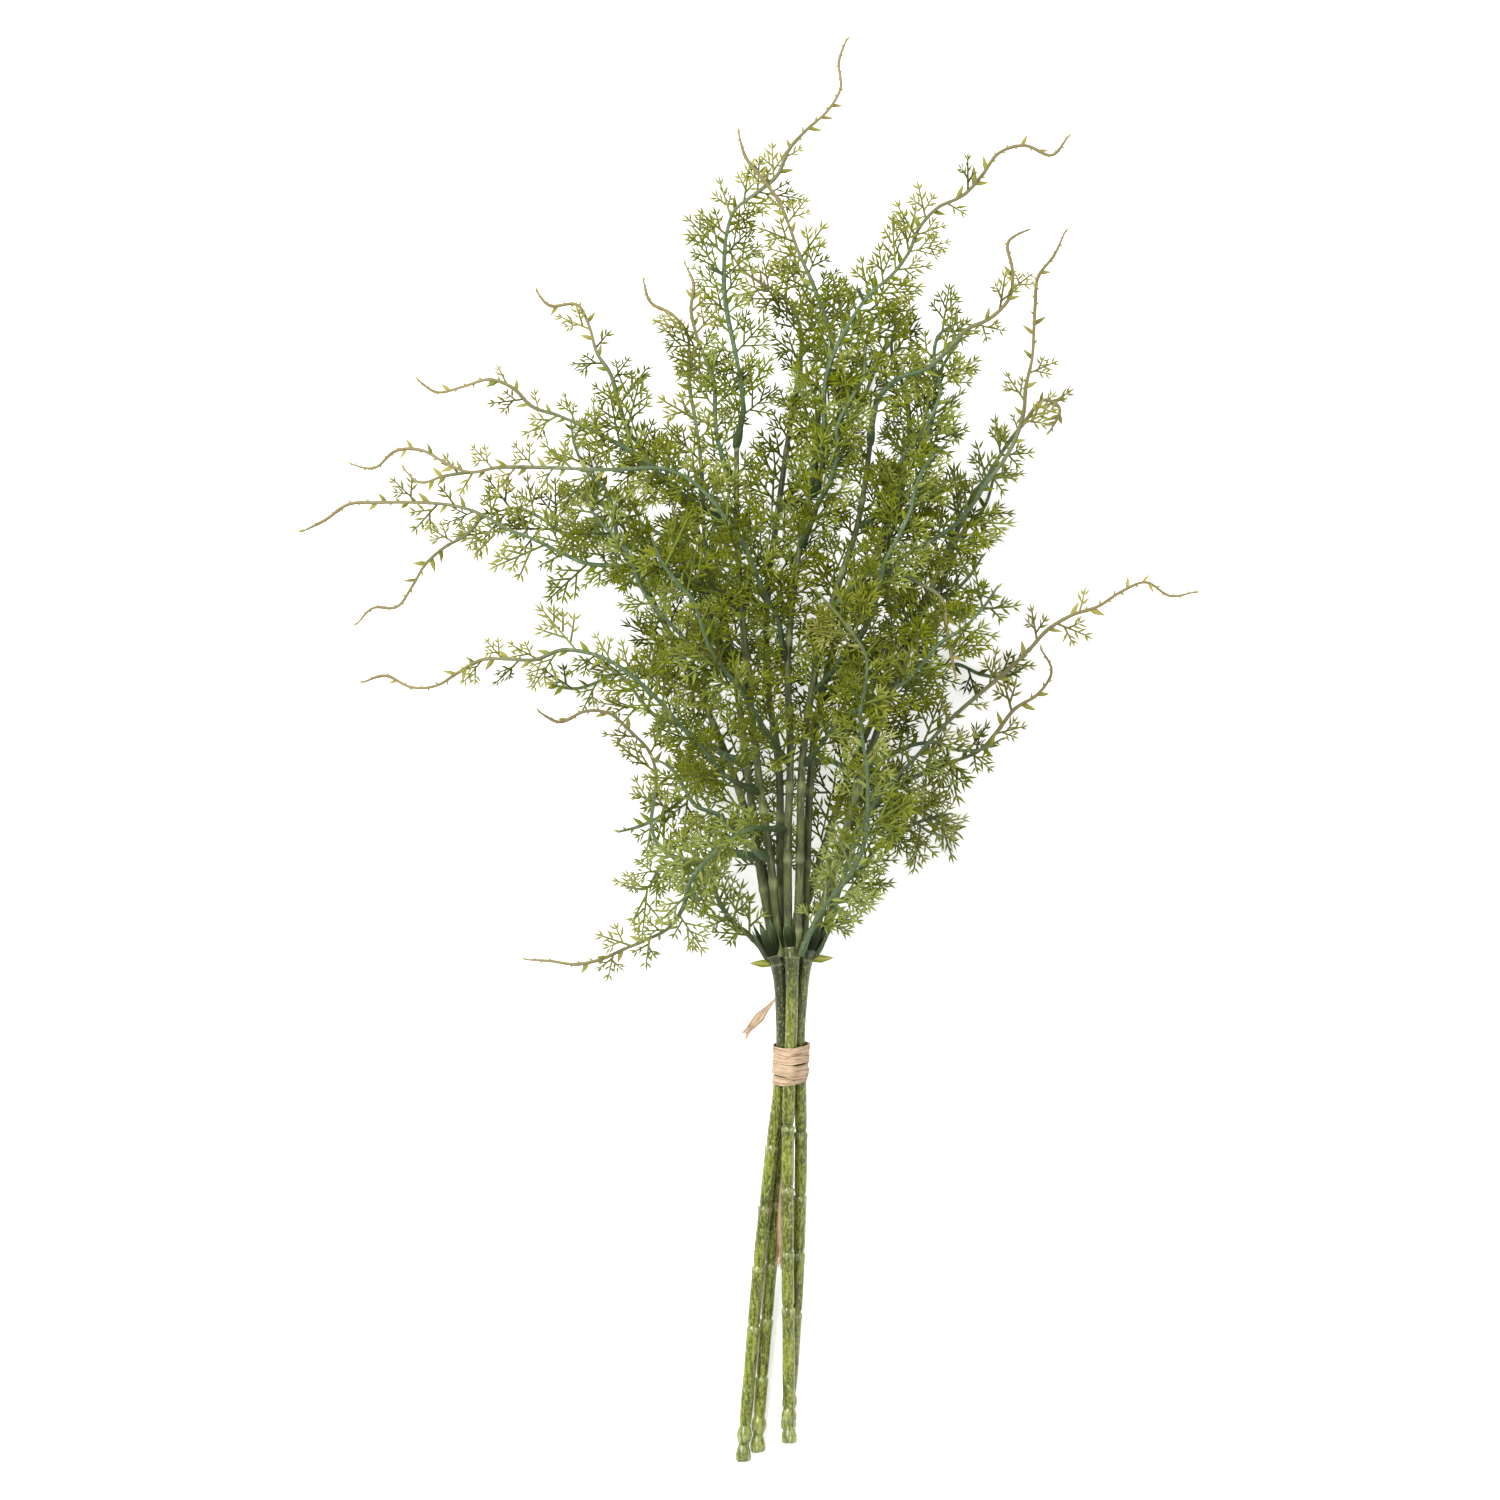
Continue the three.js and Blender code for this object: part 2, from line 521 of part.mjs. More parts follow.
// How far a frond may be lifted or lowered to pass its neighbours, the least first.
const LIFTS = [0, ...steps(3, 45, 3).flatMap((lift) => [lift, -lift])];

for (const [name, [carrier, node, offsets, fork]] of Object.entries(FRONDS)) {
  const { centre, foot } = seatOn(carrier, node, vector(offsets[0]));
  const trial = LIFTS.map((lift) => {
    const points = frondRoute(centre, foot, offsets, lift);
    const routes = [routeThrough(points)];
    if (fork) {
      const [from, forkOffsets] = fork;
      const [, ...forkPoints] = frondRoute(centre, foot, forkOffsets, 0);
      forkPoints.forEach((point) => (point.z += lift));
      routes.push(routeThrough([nearestRing(routes[0], points[from + 1]), ...forkPoints]));
    }
    return routes;
  }).find(([main, side]) => {
    if (!thicket.isClear(ballsAlong(main, frondProfile(main.getLength()), PEG_REACH), carrier)) return false;
    return !side || thicket.isClear(ballsAlong(side, forkProfile(side.getLength()), 0), name);
  });
  if (!trial) throw new Error(name + " finds no clear way through the bunch");
  const [main, side] = trial;
  addSpine(name, main, frondProfile(main.getLength()), []);
  if (side) {
    spines.get(name).fork = { route: side, profile: forkProfile(side.getLength()) };
    thicket.add(name, ballsAlong(side, forkProfile(side.getLength()), 0));
  }
}

// A sprig is a flat pointed leaf on a short foot. It leans forward from the rachis, turned about it by roll.
const SPRIG_LEAN = THREE.MathUtils.degToRad(50);
const SPRIG_ROLLS = [0, 25, -25, 50, -50, 75, -75, 105, -105].map(THREE.MathUtils.degToRad);

function sprigRoute({ point, along, beside, above }, hand, roll, length) {
  const out = beside.clone().multiplyScalar(hand * Math.cos(roll)).addScaledVector(above, Math.sin(roll));
  const heading = along.clone().multiplyScalar(Math.cos(SPRIG_LEAN));
  heading.addScaledVector(out, Math.sin(SPRIG_LEAN));
  return new THREE.LineCurve3(point, point.clone().addScaledVector(heading, length));
}

const sprigProfile = (length) => [[0, RACHIS_RADIUS], [length * 0.45, SPRIG_WIDTH / 2], [length, 0]];

function sprigSolid(route, profile) {
  return solidOf(bentLathe(route, profile, FROND_SIDES, SPRIG_THICKNESS / SPRIG_WIDTH));
}

// Sprigs stand in turn on the left and right of the rachis, shorter towards its tip. One turns about the
// rachis where a neighbour is in its way, and is left out where it can't pass.
function sprigsOn(name, route, profile) {
  const length = route.getLength();
  const rings = profile.map(([place]) => place).filter((place) => place > SHEATH_LENGTH);
  const places = rings.filter((place, i) => place < length * LEAFY_SHARE && i % RINGS_PER_SPRIG === 0);
  return places.flatMap((place, i) => {
    const frame = frameAt(route, place);
    const sprigLength = SPRIG_LENGTH * (1 - (0.6 * place) / length);
    const blade = sprigProfile(sprigLength);
    const ways = SPRIG_ROLLS.map((roll) => sprigRoute(frame, i % 2 ? 1 : -1, roll, sprigLength));
    const way = ways.find((sprig) => thicket.isClear(ballsAlong(sprig, blade, sprigLength), name));
    if (!way) return [];
    thicket.add(name, ballsAlong(way, blade, 0));
    return [sprigSolid(way, blade)];
  });
}

const bunch = new THREE.Group();

for (const name of Object.keys(STEMS)) {
  const { route, profile } = spines.get(name);
  bunch.add(namedMesh(name, bentLathe(route, profile, STEM_SIDES), STEM_GREEN));
}
for (const name of Object.keys(STALKS)) {
  const { route, profile } = spines.get(name);
  bunch.add(namedMesh(name, bentLathe(route, profile, STALK_SIDES), STALK_GREEN));
}
for (const name of Object.keys(FRONDS)) {
  const { route, profile, fork } = spines.get(name);
  const pieces = [solidOf(bentLathe(route, profile, FROND_SIDES)), ...sprigsOn(name, route, profile)];
  if (fork) pieces.push(solidOf(bentLathe(fork.route, fork.profile, FROND_SIDES)));
  const frond = pieces.reduce((whole, piece) => whole.add(piece));
  bunch.add(namedMesh(name, geometryOf(frond), FROND_GREEN));
}

// The tie is a band drawn round all the stems: its outline is the taut line round their sections.
function tieMesh() {
  const routes = Object.keys(STEMS).map((name) => spines.get(name).route);
  const tie = new THREE.Vector3(0, 0, TIE_HEIGHT * STEM_GAP);
  const places = routes.map((route) => nearestShare(route, tie) * route.getLength());
  const middles = routes.map((route, i) => frameAt(route, places[i]));
  const along = middles.reduce((sum, { along: way }) => sum.add(way), new THREE.Vector3()).normalize();
  const beside = new THREE.Vector3().crossVectors(along, UP).normalize();
  const above = new THREE.Vector3().crossVectors(beside, along);
  const centre = new THREE.Vector3();
  middles.forEach(({ point }) => centre.addScaledVector(point, 1 / middles.length));
  // The stems' middles along the band, as seen from its end.
  const sections = routes.flatMap((route, i) =>
    steps(-TIE_LENGTH / 2, TIE_LENGTH / 2, TIE_LENGTH / 4).map((offset) => {
      const spot = frameAt(route, places[i] + offset).point.sub(centre);
      return new THREE.Vector2(spot.dot(beside), spot.dot(above));
    }),
  );
  const outline = (offset) =>
    steps(0, 2 * Math.PI, Math.PI / 14).slice(0, -1).map((angle) => {
      const out = new THREE.Vector2(Math.cos(angle), Math.sin(angle));
      const reach = sections.map((section) => section.dot(out));
      return sections[reach.indexOf(Math.max(...reach))].clone().addScaledVector(out, offset);
    });
  const inner = STEM_RADIUS + JOINT_SHOULDER + CLEARANCE;
  const band = new THREE.Shape(outline(inner + TIE_THICKNESS));
  band.holes.push(new THREE.Path(outline(inner)));
  const geometry = new THREE.ExtrudeGeometry(band, { depth: TIE_LENGTH, bevelEnabled: false });
  geometry.translate(0, 0, -TIE_LENGTH / 2);
  const placing = new THREE.Matrix4().makeBasis(beside, above, along.clone().negate()).setPosition(centre);
  geometry.applyMatrix4(placing);
  return namedMesh("tie_band", geometry, RAFFIA);
}
bunch.add(tieMesh());

for (const [name, points] of Object.entries(TAILS)) {
  const route = routeThrough(points.map(buttVector));
  const length = route.getLength();
  const profile = steps(0, length, RING_STEP / 2).map((distance) => [distance, TAIL_WIDTH / 2]);
  bunch.add(namedMesh(name, bentLathe(route, profile, 4, TAIL_THICKNESS / TAIL_WIDTH), RAFFIA));
}

// The bunch's own frame has its origin under its middle, on the surface.
const box = new THREE.Box3().setFromObject(bunch);
const middle = box.getCenter(new THREE.Vector3());
bunch.position.set(-middle.x, -middle.y, -box.min.z);

export default bunch;
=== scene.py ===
"""A bunch of artificial asparagus fern that lies on a pale floor.

Jointed moulded stems are tied with raffia. Thin stalks rise from the stems' collars, and wiry fronds with
feathery sprays and curling tips are plugged on the collars and the stalks. Every route is read from the
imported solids, so each visible piece lies where its solid does. All sizes are in metres.
"""
import heapq
import itertools
import logging
import math
import random
from dataclasses import dataclass
from enum import Enum
from typing import Any, Callable, Dict, Iterable, List, Optional, Sequence, Tuple, Union

import bmesh
import bpy
from mathutils import Matrix, Vector
from mathutils.bvhtree import BVHTree
from mathutils.kdtree import KDTree


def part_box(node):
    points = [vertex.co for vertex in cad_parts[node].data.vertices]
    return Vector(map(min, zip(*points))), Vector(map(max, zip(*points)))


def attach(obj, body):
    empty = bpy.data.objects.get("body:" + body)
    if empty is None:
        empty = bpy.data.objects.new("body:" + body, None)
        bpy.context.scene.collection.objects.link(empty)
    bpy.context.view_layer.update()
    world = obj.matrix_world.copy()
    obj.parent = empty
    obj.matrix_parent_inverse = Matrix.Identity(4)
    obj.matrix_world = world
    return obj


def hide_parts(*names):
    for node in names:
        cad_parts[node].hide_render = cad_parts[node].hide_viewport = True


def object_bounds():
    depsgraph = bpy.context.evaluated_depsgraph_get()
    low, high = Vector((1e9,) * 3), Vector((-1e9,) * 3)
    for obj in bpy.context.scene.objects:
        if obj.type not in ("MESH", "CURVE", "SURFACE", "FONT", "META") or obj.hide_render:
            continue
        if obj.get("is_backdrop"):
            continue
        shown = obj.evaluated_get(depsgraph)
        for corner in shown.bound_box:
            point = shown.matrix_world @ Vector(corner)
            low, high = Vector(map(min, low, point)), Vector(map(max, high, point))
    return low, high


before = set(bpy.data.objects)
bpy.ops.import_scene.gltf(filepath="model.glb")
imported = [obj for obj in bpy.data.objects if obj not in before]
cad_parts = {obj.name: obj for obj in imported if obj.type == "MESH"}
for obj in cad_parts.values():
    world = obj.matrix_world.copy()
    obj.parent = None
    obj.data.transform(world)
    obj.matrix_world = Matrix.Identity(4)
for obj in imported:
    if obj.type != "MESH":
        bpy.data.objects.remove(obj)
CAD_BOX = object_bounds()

log = logging.getLogger("fern")

MM = 0.001
UP = Vector((0.0, 0.0, 1.0))
ROOT = "root"

Ring = Tuple[float, float]
Colour = Tuple[float, float, float]


# ---------------------------------------------------------------------------------------------------------
# Routes
# ---------------------------------------------------------------------------------------------------------
@dataclass(frozen=True)
class Spot:
    """A place on a route, with the directions along it, beside it and above it."""

    point: Vector
    along: Vector
    beside: Vector
    above: Vector

    def lifted(self, beside: float, above: float) -> Vector:
        """The point that lies so far beside and above the route."""
        return self.point + self.beside * beside + self.above * above


class Route:
    """A smooth line through corners, measured by the distance from its start."""

    STEP = 1.0 * MM
    FINENESS = 10

    def __init__(self, corners: Sequence[Vector]) -> None:
        """Smooths the corners, spaces points evenly on the line and carries a frame along it.

        Args:
            corners: What the line runs through, in order.
        """
        self.points = self._spaced(self._smoothed(corners))
        self.length = self.STEP * (len(self.points) - 1)
        self.alongs = [
            (after - before).normalized()
            for before, after in zip([self.points[0], *self.points], [*self.points[1:], self.points[-1]])
        ]
        self.besides: List[Vector] = []
        beside = self.alongs[0].cross(UP)
        for along in self.alongs:
            beside = (beside - along * beside.dot(along)).normalized()
            self.besides.append(beside)

    def _smoothed(self, corners: Sequence[Vector]) -> List[Vector]:
        """A Catmull-Rom line through the corners.

        Args:
            corners: What the line runs through, in order.

        Returns:
            The line's points, unevenly spaced.
        """
        first, last = corners[0] * 2 - corners[1], corners[-1] * 2 - corners[-2]
        padded = [first, *corners, last]
        line: List[Vector] = []
        for a, b, c, d in zip(padded, padded[1:], padded[2:], padded[3:]):
            for i in range(self.FINENESS):
                t = i / self.FINENESS
                straight = b * 2 + (c - a) * t
                curve = straight + (a * 2 - b * 5 + c * 4 - d) * t**2 + (b * 3 - a - c * 3 + d) * t**3
                line.append(curve / 2)
        return [*line, corners[-1].copy()]

    def _spaced(self, line: Sequence[Vector]) -> List[Vector]:
        """Spaces points on a line.

        Args:
            line: The line's own points, unevenly spaced.

        Returns:
            Points on it that are one step apart.
        """
        spaced = [line[0].copy()]
        left = self.STEP
        for start, end in zip(line, line[1:]):
            span = (end - start).length
            while span >= left > 0:
                start = start.lerp(end, left / span)
                spaced.append(start)
                span = (end - start).length
                left = self.STEP
            left -= span
        return spaced

    def past_peak(self, lead: float) -> "Route":
        """The route from its furthest place along Y on, with a straight lead before it.

        Args:
            lead: How long the lead is.

        Returns:
            The new route, or this one if it starts at its furthest place.
        """
        peak = max(range(len(self.points) // 2), key=lambda index: self.points[index].y)
        if not peak:
            return self
        first, end = self.points[peak], self.points[-1]
        return Route([first + (first - end).normalized() * lead, first.lerp(end, 0.5), end])

    def at(self, distance: float) -> Spot:
        """The spot at a distance. Past an end the route runs straight on.

        Args:
            distance: How far from the start it is.

        Returns:
            The spot, with the frame that is carried along the route.
        """
        place = distance / self.STEP
        low = min(max(int(place), 0), len(self.points) - 2)
        share = place - low
        along = self.alongs[low].lerp(self.alongs[low + 1], min(max(share, 0.0), 1.0)).normalized()
        beside = self.besides[low]
        point = self.points[low] + (self.points[low + 1] - self.points[low]) * share
        return Spot(point, along, beside, beside.cross(along))

    def level_at(self, distance: float) -> Spot:
        """The spot at a distance, turned so that its beside is level.

        Args:
            distance: How far from the start it is.

        Returns:
            The spot.
        """
        spot = self.at(distance)
        beside = spot.along.cross(UP).normalized()
        return Spot(spot.point, spot.along, beside, beside.cross(spot.along))


def solid_of(node: str) -> bmesh.types.BMesh:
    """A CAD node's solid, with its loose triangles joined.

    Args:
        node: The CAD node.

    Returns:
        A copy of its mesh.
    """
    mesh = bmesh.new()
    mesh.from_mesh(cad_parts[node].data)
    bmesh.ops.remove_doubles(mesh, verts=mesh.verts, dist=0.005 * MM)
    mesh.verts.ensure_lookup_table()
    mesh.verts.index_update()
    return mesh


def walk(mesh: bmesh.types.BMesh, starts: Iterable[int]) -> Tuple[Dict[int, float], Dict[int, int]]:
    """Walks a mesh's edges outwards from some vertices.

    Args:
        mesh: The mesh.
        starts: Indices of the vertices to start from.

    Returns:
        Each vertex's distance along the edges, and the vertex before it on its shortest way.
    """
    distance = {start: 0.0 for start in starts}
    before: Dict[int, int] = {}
    queue = [(0.0, start) for start in distance]
    while queue:
        gone, index = heapq.heappop(queue)
        if gone > distance[index]:
            continue
        vert = mesh.verts[index]
        for edge in vert.link_edges:
            other = edge.other_vert(vert).index
            total = gone + edge.calc_length()
            if total < distance.get(other, math.inf):
                distance[other] = total
                before[other] = index
                heapq.heappush(queue, (total, other))
    return distance, before


def way_back(before: Dict[int, int], end: int) -> List[int]:
    """The shortest way of a walk to one of its vertices.

    Args:
        before: The vertex before each vertex, from the walk.
        end: Where the way ends.

    Returns:
        The vertices from the walk's start to the end.
    """
    way = [end]
    while way[-1] in before:
        way.append(before[way[-1]])
    return way[::-1]


def middle_line(mesh: bmesh.types.BMesh, way: Sequence[int], reach: float) -> List[Vector]:
    """The middle line of a tube.

    Args:
        mesh: The tube.
        way: A way along its skin.
        reach: How far round a vertex of the way the rest of its ring is looked for.

    Returns:
        The middles of its rings, in the order of the way.
    """
    tree = KDTree(len(mesh.verts))
    for vert in mesh.verts:
        tree.insert(vert.co, vert.index)
    tree.balance()
    line: List[Vector] = []
    for index in way:
        ring = [co for co, _, _ in tree.find_range(mesh.verts[index].co, reach)]
        middle = sum(ring, Vector()) / len(ring)
        if not line or (middle - line[-1]).length > reach:
            line.append(middle)
    return line


@dataclass(frozen=True)
class Reading:
    """How a node's route is read from its solid, whose side blades may reach further back than its base."""

    reach: float
    fork_length: float = math.inf
    pull: float = 20.0

    def routes(self, node: str, base_score: Callable[[Vector], float]) -> List[Route]:
        """The node's main route from its base, and the route of its fork if it has one.

        Args:
            node: The CAD node.
            base_score: A number for a place, which is lower at the base than at the tip.

        Returns:
            One route or two.
        """
        mesh = solid_of(node)
        scores = [base_score(vert.co) for vert in mesh.verts]
        far, _ = walk(mesh, [0])
        one_end = max(far, key=far.__getitem__)
        spread, _ = walk(mesh, [one_end])
        other_end = max(spread, key=spread.__getitem__)
        tip = max(one_end, other_end, key=scores.__getitem__)
        spread, before = walk(mesh, [tip])
        base = max(spread, key=lambda index: spread[index] - self.pull * scores[index])
        way = way_back(before, base)[::-1]
        ways = [way]
        off_way, before = walk(mesh, way)
        fork_end = max(off_way, key=off_way.__getitem__)
        if off_way[fork_end] > self.fork_length:
            ways.append(way_back(before, fork_end))
        routes = [Route(middle_line(mesh, each, self.reach)) for each in ways]
        mesh.free()
        return routes


# ---------------------------------------------------------------------------------------------------------
# Meshes
# ---------------------------------------------------------------------------------------------------------
class Paint(Enum):
    """The numbers that a mesh carries on its vertices for its finish to read."""

    LEAF = "leaf"  # 0 on twigs and stems, 1 on leaflets
    GROWTH = "growth"  # 0 at the base of a piece, 1 at its tip
    # On stems, TIP carries the bloom and painted highlight of the joints' shoulders.
    TIP = "tip"  # 0 at the foot of a leaflet, 1 at its point
    TINT = "tint"  # a number of its own for each spray, strand or joint
    # SHADE is painted shade.
    SHADE = "shade"  # how much darker a stem is above the tie


def new_mesh() -> bmesh.types.BMesh:
    """An empty mesh that carries the paint numbers."""
    mesh = bmesh.new()
    for paint in Paint:
        mesh.verts.layers.float.new(paint.value)
    return mesh


def layer_of(mesh: bmesh.types.BMesh, paint: Paint) -> bmesh.types.BMLayerItem:
    """The layer that holds one of the paint numbers."""
    return mesh.verts.layers.float[paint.value]


def put_paint(mesh: bmesh.types.BMesh, verts: Iterable[bmesh.types.BMVert], **values: float) -> None:
    """Gives some vertices the same paint numbers.

    Args:
        mesh: The mesh.
        verts: The vertices.
        values: The numbers, named as in Paint and in small letters.
    """
    layers = [(mesh.verts.layers.float[name], value) for name, value in values.items()]
    for vert in verts:
        for layer, value in layers:
            vert[layer] = value


def straight_tube(rings: Sequence[Ring], sides: int, ridge: float = 0.0) -> bmesh.types.BMesh:
    """A closed tube along Z, extruded from ring to ring.

    Args:
        rings: The distance and the radius of each ring.
        sides: How many sides it has.
        ridge: How far every second side edge stands out, as a share of the radius.

    Returns:
        The tube as a mesh of its own.
    """
    mesh = new_mesh()
    distance, radius = rings[0]
    made = bmesh.ops.create_circle(mesh, cap_ends=True, segments=sides, radius=radius)
    bmesh.ops.translate(mesh, verts=made["verts"], vec=(0, 0, distance))
    for vert in made["verts"][::2]:
        vert.co.xy *= 1 + ridge
    edges = mesh.edges[:]
    for next_distance, next_radius in rings[1:]:
        out = bmesh.ops.extrude_edge_only(mesh, edges=edges)["geom"]
        verts = [part for part in out if isinstance(part, bmesh.types.BMVert)]
        edges = [part for part in out if isinstance(part, bmesh.types.BMEdge)]
        growth = next_radius / radius
        lift = Matrix.Translation((0, 0, next_distance - distance))
        bmesh.ops.transform(mesh, verts=verts, matrix=lift @ Matrix.Diagonal((growth, growth, 1, 1)))
        distance, radius = next_distance, next_radius
    bmesh.ops.edgeloop_fill(mesh, edges=edges)
    bmesh.ops.recalc_face_normals(mesh, faces=mesh.faces)
    return mesh


def bend(mesh: bmesh.types.BMesh, route: Route) -> None:
    """Bends a mesh that runs along Z so that it follows a route."""
    for vert in mesh.verts:
        vert.co = route.at(vert.co.z).lifted(vert.co.x, vert.co.y)


def placed(point: Vector, x: Vector, y: Vector, z: Vector) -> Matrix:
    """The place at a point whose axes are the ones given."""
    return Matrix.Translation(point) @ Matrix((x, y, z)).transposed().to_4x4()


def data_of(mesh: bmesh.types.BMesh, name: str) -> bpy.types.Mesh:
    """Turns a mesh into data that objects and copies are made from.

    Args:
        mesh: The mesh, which is used up.
        name: The data's name.

    Returns:
        The data.
    """
    data = bpy.data.meshes.new(name)
    mesh.to_mesh(data)
    mesh.free()
    return data


def add_copy(mesh: bmesh.types.BMesh, other: bpy.types.Mesh) -> List[bmesh.types.BMVert]:
    """Adds a copy of some mesh data to a mesh.

    Args:
        mesh: The mesh that gets the copy.
        other: The data.

    Returns:
        The copy's vertices.
    """
    first = len(mesh.verts)
    mesh.from_mesh(other)
    mesh.verts.ensure_lookup_table()
    return mesh.verts[first:]


def add_mesh(mesh: bmesh.types.BMesh, other: bmesh.types.BMesh) -> None:
    """Moves everything in another mesh into this one.

    Args:
        mesh: The mesh that gets it.
        other: The other mesh, which is used up.
    """
    between = data_of(other, "between")
    mesh.from_mesh(between)
    bpy.data.meshes.remove(between)


def new_object(name: str, data: bpy.types.ID) -> bpy.types.Object:
    """Puts a new object into the scene.

    Args:
        name: Its name.
        data: Its mesh, light or camera.

    Returns:
        The object.
    """
    made = bpy.data.objects.new(name, data)
    bpy.context.scene.collection.objects.link(made)
    return made


@dataclass(frozen=True)
class Maker:
    """Turns finished meshes into pieces that stand for CAD nodes."""

    prefix: str = "fern_"

    def piece(
        self,
        name: str,
        mesh: bmesh.types.BMesh,
        material: bpy.types.Material,
        slot: str,
        nodes: Sequence[str] = (),
        smooth: bool = True,
    ) -> bpy.types.Object:
        """Makes one piece, which rides on the only body.

        Args:
            name: The piece's name, without the prefix.
            mesh: The finished mesh, which is used up.
            material: The finish.
            slot: The record's material slot. It is not used.
            nodes: The CAD nodes that the piece stands for.
            smooth: True for a soft surface, False for flat facets.

        Returns:
            The new object.
        """
        for face in mesh.faces:
            face.smooth = smooth
        data = data_of(mesh, self.prefix + name)
        data.materials.append(material)
        made = new_object(self.prefix + name, data)
        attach(made, ROOT)
        if nodes:
            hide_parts(*nodes)
        log.info("%s: %d faces", made.name, len(data.polygons))
        return made


# ---------------------------------------------------------------------------------------------------------
# Finishes
# ---------------------------------------------------------------------------------------------------------
Operand = Union["Value", float]


class Value:
    """A number socket of a shader that takes part in Python sums."""

    def __init__(self, shader: "Shader", socket: bpy.types.NodeSocket) -> None:
        """Wraps the socket of a shader."""
        self.shader = shader
        self.socket = socket

    def _math(self, operation: str, first: Operand, second: Operand = 0.0) -> "Value":
        """One Math node on two operands."""
        node = self.shader.node("ShaderNodeMath", {"operation": operation}, {0: first, 1: second})
        return Value(self.shader, node.outputs[0])

    def __add__(self, other: Operand) -> "Value":
        """The sum."""
        return self._math("ADD", self, other)

    __radd__ = __add__

    def __sub__(self, other: Operand) -> "Value":
        """The difference."""
        return self._math("SUBTRACT", self, other)

    def __rsub__(self, other: Operand) -> "Value":
        """The difference from a number."""
        return self._math("SUBTRACT", other, self)

    def __mul__(self, other: Operand) -> "Value":
        """The product."""
        return self._math("MULTIPLY", self, other)

    __rmul__ = __mul__

    def clipped(self) -> "Value":
        """The value held between 0 and 1."""
        node = self.shader.node("ShaderNodeClamp", {}, {"Value": self, "Min": 0.0, "Max": 1.0})
        return Value(self.shader, node.outputs[0])

    def step(self, low: float, high: float) -> "Value":
        """0 below low, 1 above high, and a smooth rise between them."""
        node = self.shader.node(
            "ShaderNodeMapRange",
            {"interpolation_type": "SMOOTHSTEP"},
            {"Value": self, "From Min": low, "From Max": high},
        )
        return Value(self.shader, node.outputs[0])


class Shader:
    """A material's nodes, built from calls and sums."""

    def __init__(self, name: str) -> None:
        """Starts a material with a Principled shader.

        Args:
            name: The material's name.
        """
        self.material = bpy.data.materials.new(name)
        self.material.use_nodes = True
        self.tree = self.material.node_tree
        self.surface = self.tree.nodes["Principled BSDF"]
        self.place = self.node("ShaderNodeTexCoord", {}, {}).outputs["Object"]

    def node(self, kind: str, settings: Dict[str, Any], inputs: Dict[Union[str, int], Any]) -> bpy.types.Node:
        """Adds a node.

        Args:
            kind: The node's type.
            settings: Its own settings, which are set first.
            inputs: A value, a socket or a Value for each named or numbered input.

        Returns:
            The node.
        """
        made = self.tree.nodes.new(kind)
        for name, setting in settings.items():
            setattr(made, name, setting)
        for key, given in inputs.items():
            self.feed(made.inputs[key], given)
        return made

    def feed(self, entry: bpy.types.NodeSocket, given: Any) -> None:
        """Links or sets one input.

        Args:
            entry: The input's socket.
            given: A value, a colour, a socket or a Value.
        """
        if isinstance(given, Value):
            given = given.socket
        if isinstance(given, bpy.types.NodeSocket):
            self.tree.links.new(given, entry)
        elif isinstance(given, tuple) and len(given) == 3 and entry.type == "RGBA":
            entry.default_value = (*given, 1.0)
        else:
            entry.default_value = given

    def paint(self, kind: Paint) -> Value:
        """One of the numbers that the mesh carries."""
        node = self.node("ShaderNodeAttribute", {"attribute_name": kind.value}, {})
        return Value(self, node.outputs["Fac"])

    def coordinate(self, axis: str) -> Value:
        """How far along X, Y or Z a place is."""
        return Value(self, self.node("ShaderNodeSeparateXYZ", {}, {"Vector": self.place}).outputs[axis])

    def noise(self, size: float, detail: float = 2.0, stretch: Optional[Vector] = None) -> Value:
        """Soft noise.

        Args:
            size: About how big its grains are.
            detail: How fine its finest grains are.
            stretch: What the coordinates are multiplied by, where the grains are longer one way.

        Returns:
            The noise, around 0.5.
        """
        vector = self.place
        if stretch is not None:
            vector = self.node("ShaderNodeMapping", {}, {"Vector": vector, "Scale": stretch}).outputs[0]
        node = self.node("ShaderNodeTexNoise", {}, {"Vector": vector, "Scale": 1 / size, "Detail": detail})
        return Value(self, node.outputs[0])

    def mix(self, first: Any, second: Any, factor: Operand) -> bpy.types.NodeSocket:
        """A colour between two."""
        node = self.node("ShaderNodeMix", {"data_type": "RGBA"}, {0: factor, 6: first, 7: second})
        return node.outputs[2]

    def bump(self, height: Value, distance: float, strength: float = 1.0) -> bpy.types.NodeSocket:
        """A normal that is tilted by a height."""
        inputs = {"Height": height, "Distance": distance, "Strength": strength}
        return self.node("ShaderNodeBump", {}, inputs).outputs[0]

    def dress(self, **inputs: Any) -> bpy.types.Material:
        """Feeds the Principled shader.

        Args:
            inputs: What each input gets, with _ for a space in its name.

        Returns:
            The finished material.
        """
        for name, given in inputs.items():
            self.feed(self.surface.inputs[name.replace("_", " ")], given)
        return self.material


